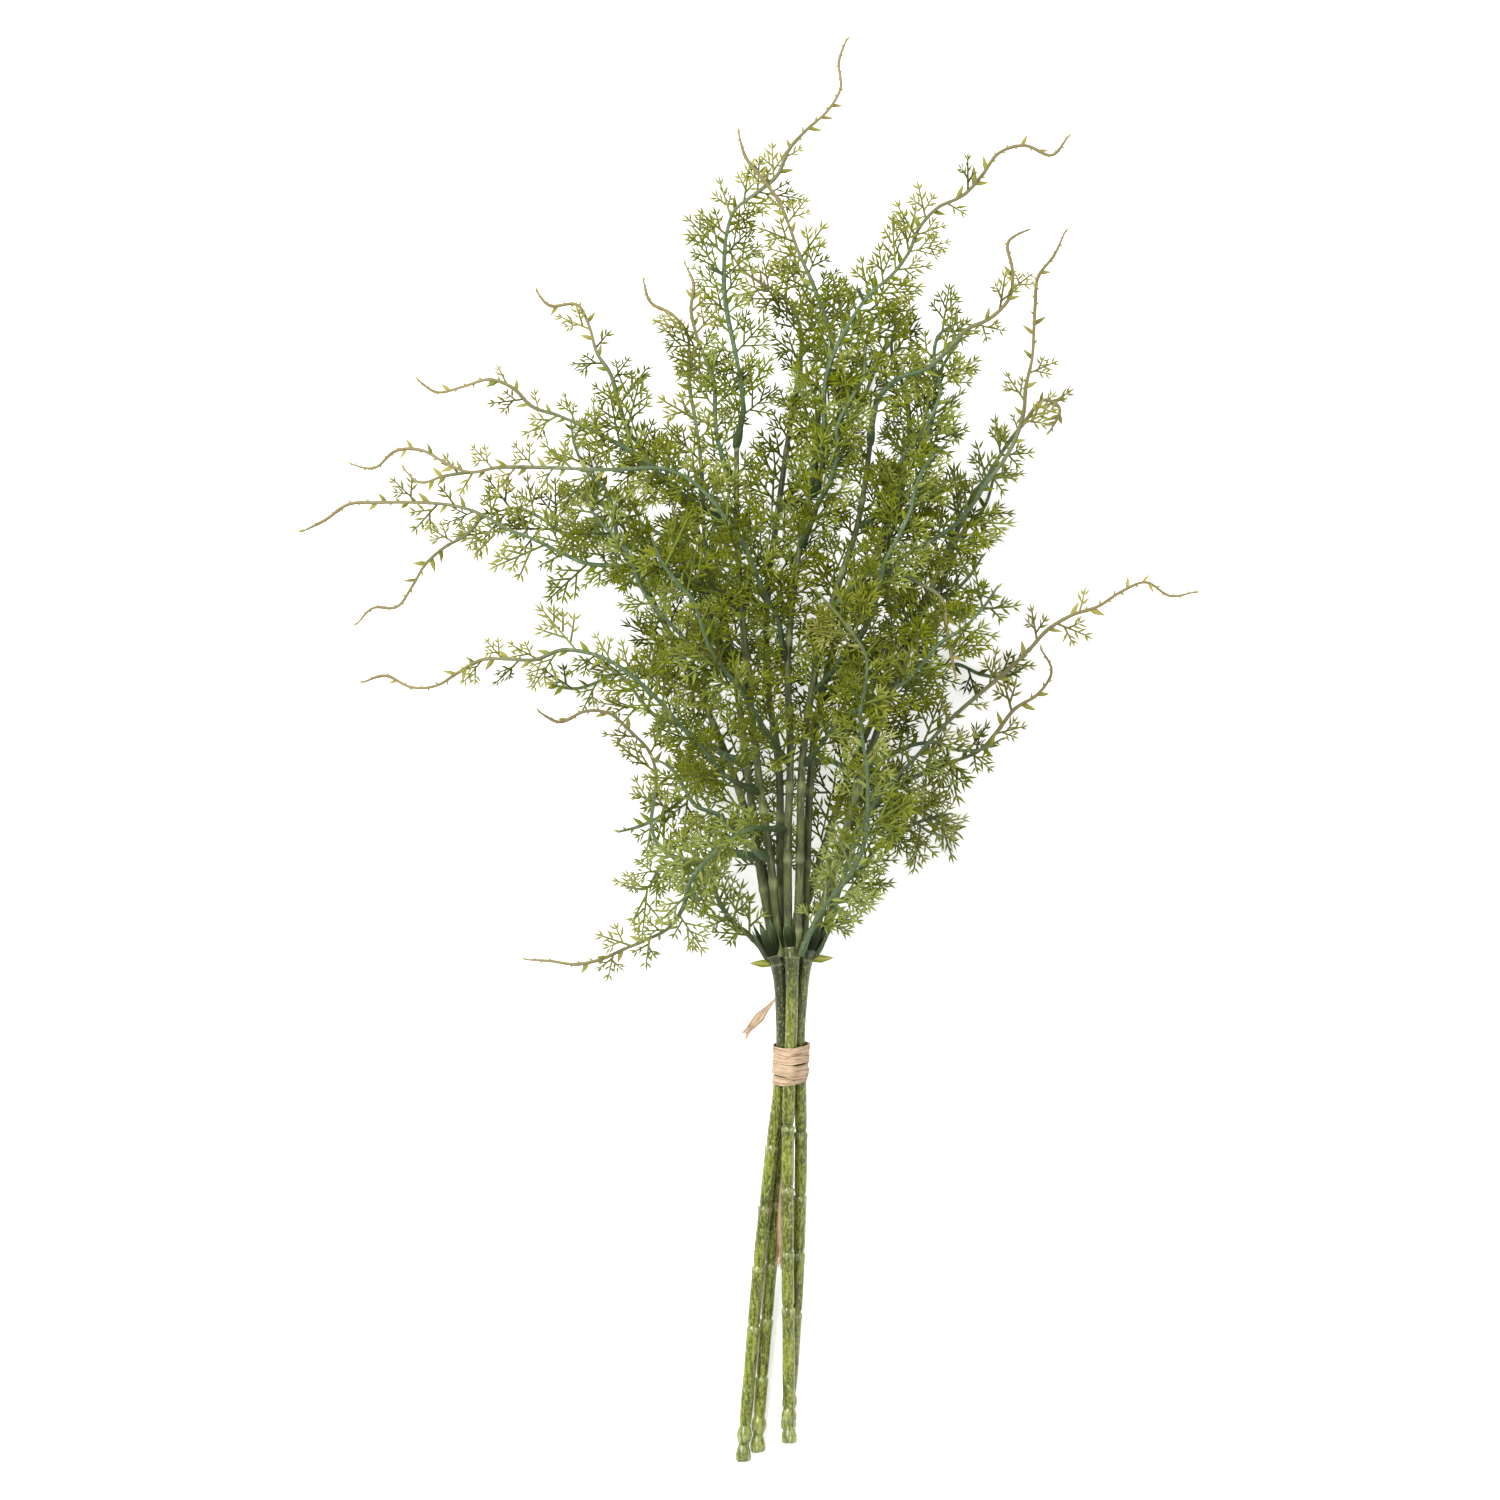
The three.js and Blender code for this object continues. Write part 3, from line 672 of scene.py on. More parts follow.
@dataclass(frozen=True)
class FrondFinish:
    """Moulded plastic: bluish stalks, olive leaves with painted shade low in the bunch and in its middle and
    a paler top layer that is partly painted light, and tan tips.
    """

    crown: Colour = (0.010, 0.015, 0.003)
    sheath: Colour = (0.036, 0.054, 0.020)
    rachis: Colour = (0.080, 0.118, 0.055)
    ridge: Colour = (0.230, 0.280, 0.170)
    rachis_tip: Colour = (0.215, 0.180, 0.085)
    # Painted shade: the colour of leaves low in the bunch and in its middle.
    leaf_shaded: Colour = (0.036, 0.044, 0.000)
    leaf: Colour = (0.132, 0.154, 0.002)
    # The top layer's paler green, partly a pale overspray and partly painted light.
    leaf_top_pale_and_lit: Colour = (0.210, 0.250, 0.062)
    leaf_young: Colour = (0.300, 0.275, 0.075)
    # Heights above the floor from full painted shade to full painted light, and places along Y towards the
    # foot where the painted shade gives way.
    shaded_height: float = 0.0
    lit_height: float = 95 * MM
    foot_start: float = -80 * MM
    foot_end: float = 40 * MM
    roughness: float = 0.42
    gloss: float = 0.10

    def material(self) -> bpy.types.Material:
        """Builds the material."""
        shader = Shader("frond plastic")
        growth = shader.paint(Paint.GROWTH)
        tip = shader.paint(Paint.TIP)
        tint = shader.paint(Paint.TINT)
        patches = shader.noise(14 * MM)
        grain = shader.noise(1.2 * MM, 3.0)
        # Painted shade and light: leaves are darker low above the floor and away from the foot, and paler
        # high up, mixed with their own random tone.
        lift = shader.coordinate("Z").step(self.shaded_height, self.lit_height)
        foot = shader.coordinate("Y").step(self.foot_end, self.foot_start)
        tone_and_shade = lift * 0.2 + foot * 0.4 + tint * 0.6 + (patches - 0.5) * 0.7 + tip * 0.25
        leaf = shader.mix(self.leaf_shaded, self.leaf, tone_and_shade.step(0.0, 0.6))
        leaf = shader.mix(leaf, self.leaf_top_pale_and_lit, tone_and_shade.step(0.5, 1.15))
        youth = growth * 0.9 + (tip - 0.5) * 0.35 + (tint - 0.5) * 0.3
        leaf = shader.mix(leaf, self.leaf_young, youth.step(0.25, 0.95))
        rachis = shader.mix(self.crown, self.sheath, growth.step(-0.3, 0.0))
        rachis = shader.mix(rachis, self.rachis, growth.step(0.0, 0.2))
        rachis = shader.mix(rachis, self.ridge, grain.step(0.45, 0.8) * (0.25 + growth * 3.0).clipped() * 0.6)
        rachis = shader.mix(rachis, self.rachis_tip, growth.step(0.4, 0.9))
        colour = shader.mix(rachis, leaf, shader.paint(Paint.LEAF))
        return shader.dress(
            Base_Color=colour,
            Roughness=self.roughness + (grain - 0.5) * 0.3,
            Specular_IOR_Level=self.gloss,
            Normal=shader.bump(grain, 0.12 * MM, 0.6),
        )


@dataclass(frozen=True)
class StemFinish:
    """Olive green moulded plastic with fine long streaks, a greyish bloom with a painted highlight on its
    joints' shoulders, and painted shade near its collar and above the tie.
    """

    deep: Colour = (0.058, 0.070, 0.004)
    green: Colour = (0.205, 0.240, 0.020)
    # The pale bloom, which on the joints' shoulders also stands for a painted highlight.
    bloom: Colour = (0.480, 0.510, 0.270)
    brown: Colour = (0.120, 0.085, 0.025)
    # Painted shade near the collar and above the tie.
    shaded: Colour = (0.028, 0.032, 0.010)
    roughness: float = 0.27

    def material(self) -> bpy.types.Material:
        """Builds the material."""
        shader = Shader("stem plastic")
        streaks = shader.noise(1.1 * MM, 3.0, Vector((1.0, 0.12, 1.0)))
        specks = shader.noise(0.65 * MM, 2.0, Vector((1.0, 0.4, 1.0)))
        patches = shader.noise(9 * MM, 3.0, Vector((1.0, 0.5, 1.0)))
        # On a stem, TIP holds the shoulders' paleness: bloom and a painted highlight.
        shoulder_highlight = shader.paint(Paint.TIP)
        flecks = patches * 0.4 + streaks * 0.6 + specks * 0.6
        green = shader.mix(self.deep, self.green, flecks.step(0.66, 0.92))
        worn = shader.paint(Paint.TINT) * 0.8 + patches * 0.3 - 0.45
        green = shader.mix(green, self.brown, worn.clipped())
        height = shader.paint(Paint.GROWTH) + (patches - 0.5) * 0.12
        # Painted shade: darker near the collar, and above the tie as far as the stem's SHADE number says.
        green = shader.mix(green, self.shaded, height.step(0.88, 1.0) * 0.75)
        green = shader.mix(green, self.shaded, height.step(0.72, 0.86) * shader.paint(Paint.SHADE))
        # The specks and streaks are the bloom; the shoulders' paleness is a painted highlight, dimmed under
        # the painted shade near the collar.
        dust = specks.step(0.56, 0.72) * 0.45 + streaks.step(0.6, 0.75) * 0.25
        bloom = (shoulder_highlight * (streaks * 0.9 - 0.1) + dust).clipped() * (1.0 - height.step(0.85, 1.0) * 0.6)
        return shader.dress(
            Base_Color=shader.mix(green, self.bloom, bloom),
            Roughness=self.roughness + (streaks - 0.5) * 0.35,
            Normal=shader.bump(streaks, 0.15 * MM, 0.7),
        )


@dataclass(frozen=True)
class StalkFinish:
    """Grey-green matt plastic with long streaks."""

    dark: Colour = (0.016, 0.018, 0.006)
    grey: Colour = (0.092, 0.106, 0.024)
    bloom: Colour = (0.280, 0.305, 0.130)
    roughness: float = 0.5

    def material(self) -> bpy.types.Material:
        """Builds the material."""
        shader = Shader("stalk plastic")
        streaks = shader.noise(0.8 * MM, 3.0, Vector((1.0, 0.1, 1.0)))
        patches = shader.noise(12 * MM, 2.0)
        grey = shader.mix(self.dark, self.grey, (patches * 0.8 + streaks * 0.5).step(0.3, 0.9))
        bloom = (shader.paint(Paint.TIP) * 0.6 + streaks.step(0.5, 0.85) * 0.5).clipped()
        return shader.dress(
            Base_Color=shader.mix(grey, self.bloom, bloom),
            Roughness=self.roughness + (streaks - 0.5) * 0.3,
            Normal=shader.bump(streaks, 0.12 * MM, 0.7),
        )


@dataclass(frozen=True)
class RaffiaFinish:
    """Dry pale straw-coloured leaf fibre with fine long threads, and brown lines among them that are partly
    the fibre's own streaks and partly painted shade between the threads.
    """

    straw: Colour = (0.540, 0.385, 0.245)
    pale: Colour = (0.690, 0.550, 0.415)
    # The brown between the threads: partly the fibre's own streaks, partly painted shade.
    brown: Colour = (0.180, 0.105, 0.045)
    roughness: float = 0.8

    def material(self) -> bpy.types.Material:
        """Builds the material. TIP is the place across the strand, so the threads run along it."""
        shader = Shader("raffia")
        across = shader.paint(Paint.TIP) + shader.paint(Paint.TINT) * 7.0
        spread = shader.node("ShaderNodeCombineXYZ", {}, {"X": across * 9.0, "Y": shader.paint(Paint.GROWTH)})
        inputs = {"Vector": spread.outputs[0], "Scale": 2.2, "Detail": 4.0}
        threads = Value(shader, shader.node("ShaderNodeTexNoise", {}, inputs).outputs[0])
        patches = shader.noise(6 * MM)
        # Brown between the threads, partly own streaks and partly painted shade.
        colour = shader.mix(self.brown, self.straw, (threads * 0.8 + patches * 0.4).step(0.44, 0.67))
        colour = shader.mix(colour, self.pale, threads.step(0.5, 0.75))
        return shader.dress(
            Base_Color=colour,
            Roughness=self.roughness + (threads - 0.5) * 0.2,
            Normal=shader.bump(threads, 0.25 * MM, 0.8),
        )


@dataclass(frozen=True)
class FloorFinish:
    """A plain pale matt floor, lit a little from below as a light table is."""

    pale: Colour = (0.900, 0.900, 0.895)
    roughness: float = 0.9
    glow: float = 0.55

    def material(self) -> bpy.types.Material:
        """Builds the material."""
        shader = Shader("pale floor")
        mottle = shader.noise(0.4)
        darker: Colour = tuple(part * 0.985 for part in self.pale)
        return shader.dress(
            Base_Color=shader.mix(self.pale, darker, mottle),
            Roughness=self.roughness,
            Emission_Color=self.pale,
            Emission_Strength=self.glow,
        )


# ---------------------------------------------------------------------------------------------------------
# Sprays
# ---------------------------------------------------------------------------------------------------------
class SpraySize(Enum):
    """How big a spray is: its twig's length, and how often its twigs branch."""

    LARGE = (20 * MM, 1)
    MEDIUM = (13 * MM, 1)
    SMALL = (7 * MM, 0)


@dataclass(frozen=True)
class SprayMaker:
    """Models the feathery sprays and the single leaves, each along Z with its face across Y."""

    leaf_length: float = 5.4 * MM
    leaf_width: float = 1.25 * MM
    leaf_thickness: float = 0.6 * MM
    finger_length: float = 4.8 * MM
    finger_width: float = 1.05 * MM
    twig_radius: float = 0.6 * MM
    node_gap: float = 4.8 * MM
    lean: float = math.radians(40)
    variants: int = 5
    single_size: Tuple[float, float] = (6.8 * MM, 2.3 * MM)
    scale_size: Tuple[float, float] = (3.4 * MM, 1.1 * MM)
    single_bands: int = 4
    finger_spread: float = 0.66

    def leaf(
        self, mesh: bmesh.types.BMesh, place: Matrix, length: float, width: float, bands: int = 2
    ) -> None:
        """Adds a pointed leaf, widest below its middle, with a ridge along both faces.

        Args:
            mesh: The mesh that gets the leaf.
            place: Where its foot stands, with Z along it and Y across its face.
            length: Its length.
            width: Its greatest width.
            bands: How many rows of faces it has from foot to point.
        """
        verts = bmesh.ops.create_uvsphere(mesh, u_segments=4, v_segments=bands, radius=1)["verts"]
        tips = layer_of(mesh, Paint.TIP)
        for vert in verts:
            height = vert.co.z
            vert[tips] = (height + 1) / 2
            if abs(height) < 0.95:
                narrowing = 0.7 if height > 0.1 else 1.0
                vert.co = Vector((vert.co.x * narrowing, vert.co.y * narrowing, height - 0.25))
        put_paint(mesh, verts, leaf=1.0)
        shape = Matrix.Diagonal((width / 2, self.leaf_thickness / 2, length / 2, 1))
        bmesh.ops.transform(mesh, verts=verts, matrix=place @ Matrix.Translation((0, 0, length / 2)) @ shape)

    def twig(
        self, mesh: bmesh.types.BMesh, place: Matrix, length: float, branching: int, rng: random.Random
    ) -> None:
        """Adds a twig with leaves or side twigs on both sides, and three fingers at its end.

        Args:
            mesh: The mesh that gets the twig.
            place: Where its foot stands, with Z along it and Y across its face.
            length: Its length.
            branching: How many times its side twigs may branch again.
            rng: What varies it.
        """
        middle = place @ Matrix.Translation((0, 0, length / 2))
        radii = {"radius1": self.twig_radius, "radius2": self.twig_radius * 0.7}
        stick = bmesh.ops.create_cone(mesh, cap_ends=False, segments=3, depth=length, matrix=middle, **radii)
        put_paint(mesh, stick["verts"], leaf=0.8, tip=0.1)
        count = max(2, round(length / self.node_gap))
        for i, hand in itertools.product(range(1, count), (-1, 1)):
            height = length * (i + 0.18 * hand) / count
            rest = length - height
            lean = Matrix.Rotation(hand * self.lean * rng.uniform(0.8, 1.25), 4, "Y")
            turn = Matrix.Rotation(rng.uniform(-0.5, 0.5), 4, "Z")
            out = place @ Matrix.Translation((0, 0, height)) @ turn @ lean
            if branching and rest > 1.2 * self.node_gap:
                self.twig(mesh, out, rest * rng.uniform(0.5, 0.68), branching - 1, rng)
            else:
                size = rng.uniform(0.8, 1.15)
                self.leaf(mesh, out, self.leaf_length * size, self.leaf_width * size)
        end = place @ Matrix.Translation((0, 0, length * 0.96))
        for angle in (-self.finger_spread, 0.0, self.finger_spread):
            turn = Matrix.Rotation(angle + rng.uniform(-0.12, 0.12), 4, "Y")
            self.leaf(mesh, end @ turn, self.finger_length * rng.uniform(0.85, 1.1), self.finger_width)

    def spray(self, size: SpraySize, seed: int) -> bpy.types.Mesh:
        """Models one spray.

        Args:
            size: How big it is.
            seed: What gives it a shape of its own.

        Returns:
            The spray as data that copies are made from.
        """
        mesh = new_mesh()
        length, branching = size.value
        self.twig(mesh, Matrix.Identity(4), length, branching, random.Random(seed))
        return data_of(mesh, f"spray {size.name.lower()} {seed}")

    def single(self, length: float, width: float) -> bpy.types.Mesh:
        """Models one leaf on its own, as it stands on a rachis.

        Args:
            length: Its length.
            width: Its greatest width.

        Returns:
            The leaf as data that copies are made from.
        """
        mesh = new_mesh()
        self.leaf(mesh, Matrix.Identity(4), length, width, self.single_bands)
        return data_of(mesh, "single leaf")


class Shelf:
    """The sprays and leaves that are ready to be set on the fronds."""

    def __init__(self, maker: SprayMaker) -> None:
        """Models every variant once.

        Args:
            maker: What models them.
        """
        self.sprays = {
            size: [maker.spray(size, 100 * number + seed) for seed in range(maker.variants)]
            for number, size in enumerate(SpraySize)
        }
        self.leaf = maker.single(*maker.single_size)
        self.scale = maker.single(*maker.scale_size)
        for size, variants in self.sprays.items():
            log.info("%s sprays: %s faces", size.name, [len(mesh.polygons) for mesh in variants])

    def spray(self, size: SpraySize, rng: random.Random) -> bpy.types.Mesh:
        """One variant of a size."""
        return rng.choice(self.sprays[size])


@dataclass(frozen=True)
class Room:
    """The space that the leaves keep to: above the floor, and under the top of the bunch."""

    low: float = CAD_BOX[0].z
    high: float = CAD_BOX[1].z + 5 * MM
    soft: float = 4 * MM

    def held(self, point: Vector) -> Vector:
        """The point, eased back inside where it comes close to the floor or the top."""
        above_floor = self._eased(point.z - self.low)
        return Vector((point.x, point.y, self.high - self._eased(self.high - self.low - above_floor)))

    def _eased(self, height: float) -> float:
        """A height that never reaches 0."""
        return height if height > self.soft else self.soft * math.exp(height / self.soft - 1)


# ---------------------------------------------------------------------------------------------------------
# Fronds
# ---------------------------------------------------------------------------------------------------------
@dataclass(frozen=True)
class Density:
    """How the sprays stand up to a share of a stretch: how far apart, how many at a node, and how big."""

    until: float
    step: float
    count: int
    sizes: Tuple[SpraySize, ...]


# Which sizes of spray stand together. A size that is named twice is drawn twice as often.
BIG = (SpraySize.LARGE, SpraySize.MEDIUM)
MIXED = (SpraySize.LARGE, SpraySize.MEDIUM, SpraySize.MEDIUM)
FINE = (SpraySize.MEDIUM, SpraySize.MEDIUM, SpraySize.SMALL)


@dataclass(frozen=True)
class Planter:
    """Sets sprays and leaves on a route, turned about it, with their faces mostly up."""

    shelf: Shelf
    room: Room
    lean: float = math.radians(52)
    face_swing: float = 0.8
    curl: float = 18.0
    whorl: int = 3
    whorl_turn: float = 2.4

    def plant(
        self,
        mesh: bmesh.types.BMesh,
        shape: bpy.types.Mesh,
        spot: Spot,
        roll: float,
        growth: float,
        rng: random.Random,
        size: float = 1.0,
    ) -> None:
        """Sets one spray or leaf.

        Args:
            mesh: The mesh that gets it.
            shape: The spray or the leaf.
            spot: Where it stands.
            roll: How far it is turned about the route, from beside it towards above it.
            growth: Its paint number, 0 at the route's base and 1 at its tip.
            rng: What varies it.
            size: Its scale.
        """
        out = spot.beside * math.cos(roll) + spot.above * math.sin(roll)
        lean = self.lean * rng.uniform(0.75, 1.15)
        way = (spot.along * math.cos(lean) + out * math.sin(lean)).normalized()
        face = (UP - way * UP.dot(way) + spot.above * 0.01).normalized()
        face = Matrix.Rotation(rng.uniform(-self.face_swing, self.face_swing), 3, way) @ face
        matrix = placed(spot.point, face.cross(way), face, way) @ Matrix.Scale(size, 4)
        curl = rng.uniform(-self.curl, self.curl)
        growths = layer_of(mesh, Paint.GROWTH)
        tints = layer_of(mesh, Paint.TINT)
        tint = rng.random()
        for vert in add_copy(mesh, shape):
            vert.co.y += curl * vert.co.z**2
            vert.co = self.room.held(matrix @ vert.co)
            vert[growths] = growth
            vert[tints] = tint

    def clothe(
        self,
        mesh: bmesh.types.BMesh,
        route: Route,
        stretch: Tuple[float, float],
        densities: Sequence[Density],
        rng: random.Random,
        growth: Callable[[float], float],
    ) -> None:
        """Sets sprays along a stretch, with single leaves between them where few stand at a node.

        Args:
            mesh: The mesh that gets them.
            route: What they stand on.
            stretch: Where the first and the last may stand.
            densities: The parts of the stretch, each up to its share.
            rng: What varies them.
            growth: The paint number for a distance.
        """
        distance, end = stretch
        turn = rng.uniform(0, math.tau)
        length = end - distance
        while distance < end:
            share = 1 - (end - distance) / length
            density = next(each for each in densities if share <= each.until)
            for i in range(density.count):
                roll = turn + math.tau * i / density.count + rng.uniform(-0.4, 0.4)
                if density.count < self.whorl:
                    roll = math.pi * ((i + round(turn / math.pi)) % 2) + rng.uniform(-0.5, 0.5)
                shape = self.shelf.spray(rng.choice(density.sizes), rng)
                size = rng.uniform(0.85, 1.12)
                self.plant(mesh, shape, route.at(distance), roll, growth(distance), rng, size)
            if density.count < self.whorl:
                roll = math.pi * (round(turn / math.pi) % 2) + math.pi + rng.uniform(-0.5, 0.5)
                leaf_spot = route.at(distance + rng.uniform(0.35, 0.6) * density.step)
                size = rng.uniform(0.75, 1.05)
                self.plant(mesh, self.shelf.leaf, leaf_spot, roll, growth(distance), rng, size)
            turn += self.whorl_turn if density.count >= self.whorl else math.pi
            distance += density.step * rng.uniform(0.85, 1.15)


class Habit(Enum):
    """How a rachis grows, and the paint numbers at its base and at its tip."""

    OUTER = (0.0, 1.0)
    INNER = (0.0, 0.4)
    UNDER = (0.0, 0.3)
    LOW = (0.15, 0.6)
    SPARSE = (0.1, 1.1)
    RICH = (0.0, 0.99)
    FORK = (0.55, 1.0)


@dataclass(frozen=True)
class FrondMaker:
    """Models a frond on its route: sheath, ridged rachis, sprays, single leaves, and a tip with scales."""

    planter: Planter
    sheath_radius: float = 1.3 * MM
    sheath_length: float = 17 * MM
    sunk: float = 1.6 * MM
    rachis_radius: float = 0.95 * MM
    outer_radius: float = 0.56 * MM
    tip_radius: float = 0.3 * MM
    ring_step: float = 1.5 * MM
    sides: int = 8
    ridge: float = 0.22
    knot_step: float = 10 * MM
    stub_rings: Tuple[Ring, ...] = ((0.0, 0.6), (1.2, 0.75), (5.5, 0.88), (6.6, 0.8), (7.0, 0.45))
    outer: Tuple[Density, ...] = (
        Density(0.3, 9.5 * MM, 3, MIXED),
        Density(0.55, 9.5 * MM, 2, MIXED),
        Density(0.8, 8 * MM, 1, BIG),
        Density(1.0, 8.5 * MM, 1, FINE),
    )
    inner: Tuple[Density, ...] = (Density(0.5, 10 * MM, 3, BIG), Density(1.0, 13 * MM, 2, MIXED))
    under: Tuple[Density, ...] = (Density(1.0, 10 * MM, 1, (SpraySize.MEDIUM,)),)
    low: Tuple[Density, ...] = (Density(1.0, 11 * MM, 2, MIXED),)
    sparse: Tuple[Density, ...] = (Density(0.4, 12 * MM, 2, BIG), Density(1.0, 12 * MM, 1, FINE))
    rich: Tuple[Density, ...] = (
        Density(0.5, 8.5 * MM, 2, BIG),
        Density(0.8, 8 * MM, 2, (SpraySize.MEDIUM, SpraySize.MEDIUM, SpraySize.LARGE)),
        Density(1.0, 10 * MM, 1, (SpraySize.MEDIUM, SpraySize.SMALL)),
    )
    fork: Tuple[Density, ...] = (Density(1.0, 13 * MM, 1, (SpraySize.MEDIUM, SpraySize.SMALL)),)

    def bare_length(self, length: float, habit: Habit) -> float:
        """How much of the tip carries scales and no sprays: most of a fork, and little inside the bunch.

        Args:
            length: The rachis's length.
            habit: How it grows.

        Returns:
            The length of the bare tip.
        """
        if habit is Habit.FORK:
            return 0.62 * length
        if habit in (Habit.INNER, Habit.UNDER, Habit.LOW):
            return 7 * MM
        return min(max(0.36 * length - 18 * MM, 8 * MM), 52 * MM)

    def densities(self, habit: Habit) -> Tuple[Density, ...]:
        """How closely a rachis of a habit is set with sprays."""
        return {
            Habit.OUTER: self.outer,
            Habit.INNER: self.inner,
            Habit.UNDER: self.under,
            Habit.LOW: self.low,
            Habit.SPARSE: self.sparse,
            Habit.RICH: self.rich,
            Habit.FORK: self.fork,
        }[habit]

    def _rings(self, length: float, habit: Habit, rng: random.Random) -> List[Ring]:
        """The rachis's rings, with knots at even steps, and the sheath at the foot of a main rachis.

        Args:
            length: The rachis's length.
            habit: How it grows.
            rng: What makes the radii a little uneven.

        Returns:
            The rings from its foot to its tip.
        """
        rings: List[Ring] = []
        is_fork = habit is Habit.FORK
        start = 0.0 if is_fork else -self.sunk
        base = self.outer_radius * 1.15 if is_fork else self.rachis_radius
        count = max(6, round((length - start) / self.ring_step))
        sheath = self.sheath_radius * rng.uniform(0.85, 1.3)
        for i in range(count + 1):
            distance = start + (length - start) * i / count
            share = max(0.0, distance / length)
            radius = base + (self.outer_radius - base) * share
            radius = min(radius, self.tip_radius + (length - distance) * 0.035)
            knot = abs(distance / self.knot_step % 1 - 0.5) * 2
            radius *= 1 + 0.9 * max(0.0, knot - 0.78) + rng.uniform(-0.06, 0.06)
            if not is_fork and distance < self.sheath_length:
                rise = min(1.0, (distance + self.sunk) / (0.5 * self.sheath_length))
                swell = 0.72 + 0.28 * math.sin(math.pi * rise)
                taper = 1 - (distance / self.sheath_length) ** 2
                radius = max(radius, self.rachis_radius + (sheath * swell - self.rachis_radius) * taper)
            rings.append((distance, radius))
        return rings

    def _rachis(
        self, route: Route, habit: Habit, growth: Callable[[float], float], rng: random.Random
    ) -> bmesh.types.BMesh:
        """Models a rachis on its route.

        Args:
            route: Its route.
            habit: How it grows.
            growth: The paint number for a distance.
            rng: What makes it a little uneven.

        Returns:
            The rachis as a mesh of its own.
        """
        mesh = straight_tube(self._rings(route.length, habit, rng), self.sides, self.ridge)
        twist = rng.uniform(-0.04, 0.04) / MM
        growths = layer_of(mesh, Paint.GROWTH)
        for vert in mesh.verts:
            vert[growths] = growth(vert.co.z)
            vert.co = Matrix.Rotation(twist * vert.co.z, 3, "Z") @ vert.co
        bend(mesh, route)
        for vert in mesh.verts:
            vert.co.z = max(vert.co.z, self.planter.room.low)
        return mesh

    def _tip(
        self,
        mesh: bmesh.types.BMesh,
        route: Route,
        bare: float,
        growth: Callable[[float], float],
        rng: random.Random,
    ) -> None:
        """Sets scales and small leaves on both sides of the bare tip, and a pointed scale at its end.

        Args:
            mesh: The mesh that gets them.
            route: The rachis's route.
            bare: How long the bare tip is.
            growth: The paint number for a distance.
            rng: What varies them.
        """
        shelf = self.planter.shelf
        distance = route.length - bare
        side = rng.choice((0, 1))
        while distance < route.length - 1.5 * MM:
            left = (route.length - distance) / bare
            is_leaf = left > 0.3 and rng.random() < 0.3
            shape = shelf.leaf if is_leaf else shelf.scale
            roll = math.pi * side + rng.uniform(-0.7, 0.7)
            size = 0.6 + 0.4 * left
            self.planter.plant(mesh, shape, route.at(distance), roll, growth(distance), rng, size)
            side += 1
            distance += rng.uniform(2.6, 4.6) * MM
        end = route.at(route.length - 1.2 * MM)
        ahead = Spot(end.point, end.along, end.beside * 0.2, end.above * 0.2)
        self.planter.plant(mesh, shelf.scale, ahead, 0.0, 1.0, rng)

    def _stub(self, mesh: bmesh.types.BMesh, route: Route, share: float) -> None:
        """Adds a blunt side twig that was never fitted with a spray.

        Args:
            mesh: The mesh that gets it.
            route: The rachis's route.
            share: The share of the route at which it stands.
        """
        rings = [(distance * MM, radius * MM) for distance, radius in self.stub_rings]
        stub = straight_tube(rings, self.sides)
        put_paint(stub, stub.verts, growth=0.1)
        spot = route.at(route.length * share)
        way = (spot.along * 0.5 - spot.beside + UP * 0.6).normalized()
        matrix = Matrix.Translation(spot.point) @ way.to_track_quat("Z", "Y").to_matrix().to_4x4()
        bmesh.ops.transform(stub, verts=stub.verts, matrix=matrix)
        add_mesh(mesh, stub)

    def frond(
        self, routes: Sequence[Route], habit: Habit, seed: int, stub: Optional[float] = None
    ) -> bmesh.types.BMesh:
        """Models one frond.

        Args:
            routes: Its main route, and its fork's if it has one.
            habit: How its main rachis grows.
            seed: What sets its own variation.
            stub: The share of its length at which a blunt stub stands, if it has one.

        Returns:
            The finished mesh.
        """
        rng = random.Random(seed)
        mesh = new_mesh()
        for number, route in enumerate(routes):
            own = Habit.FORK if number else habit
            young, old = own.value

            def growth(distance: float) -> float:
                """The paint number at a distance."""
                return young + (old - young) * min(max(distance / route.length, 0.0), 1.0)

            add_mesh(mesh, self._rachis(route, own, growth, rng))
            bare = self.bare_length(route.length, own)
            start = 5 * MM if own in (Habit.INNER, Habit.UNDER, Habit.FORK) else 0.75 * self.sheath_length
            densities = self.densities(own)
            self.planter.clothe(mesh, route, (start, route.length - bare), densities, rng, growth)
            self._tip(mesh, route, bare, growth, rng)
        if stub is not None:
            self._stub(mesh, routes[0], stub)
        return mesh


@dataclass(frozen=True)
class SideSprays:
    """Models the sprays that stand on a stalk itself, from the bunch's middle up to the stalk's end."""

    planter: Planter
    densities: Tuple[Density, ...] = (Density(1.0, 10 * MM, 2, BIG),)
    growth: float = 0.12

    def sprays(self, route: Route, lowest: float, seed: int) -> bmesh.types.BMesh:
        """Models the sprays of one stalk.

        Args:
            route: The stalk's route.
            lowest: The place along Y from which on they stand.
            seed: What varies them.

        Returns:
            The sprays as one mesh, which is empty where the stalk ends too low.
        """
        mesh = new_mesh()
        start = next((i * Route.STEP for i, point in enumerate(route.points) if point.y > lowest), None)
        if start is not None and start < route.length - 5 * MM:
            stretch = (start, route.length - 1 * MM)
            rng = random.Random(seed)
            self.planter.clothe(mesh, route, stretch, self.densities, rng, lambda distance: self.growth)
        return mesh


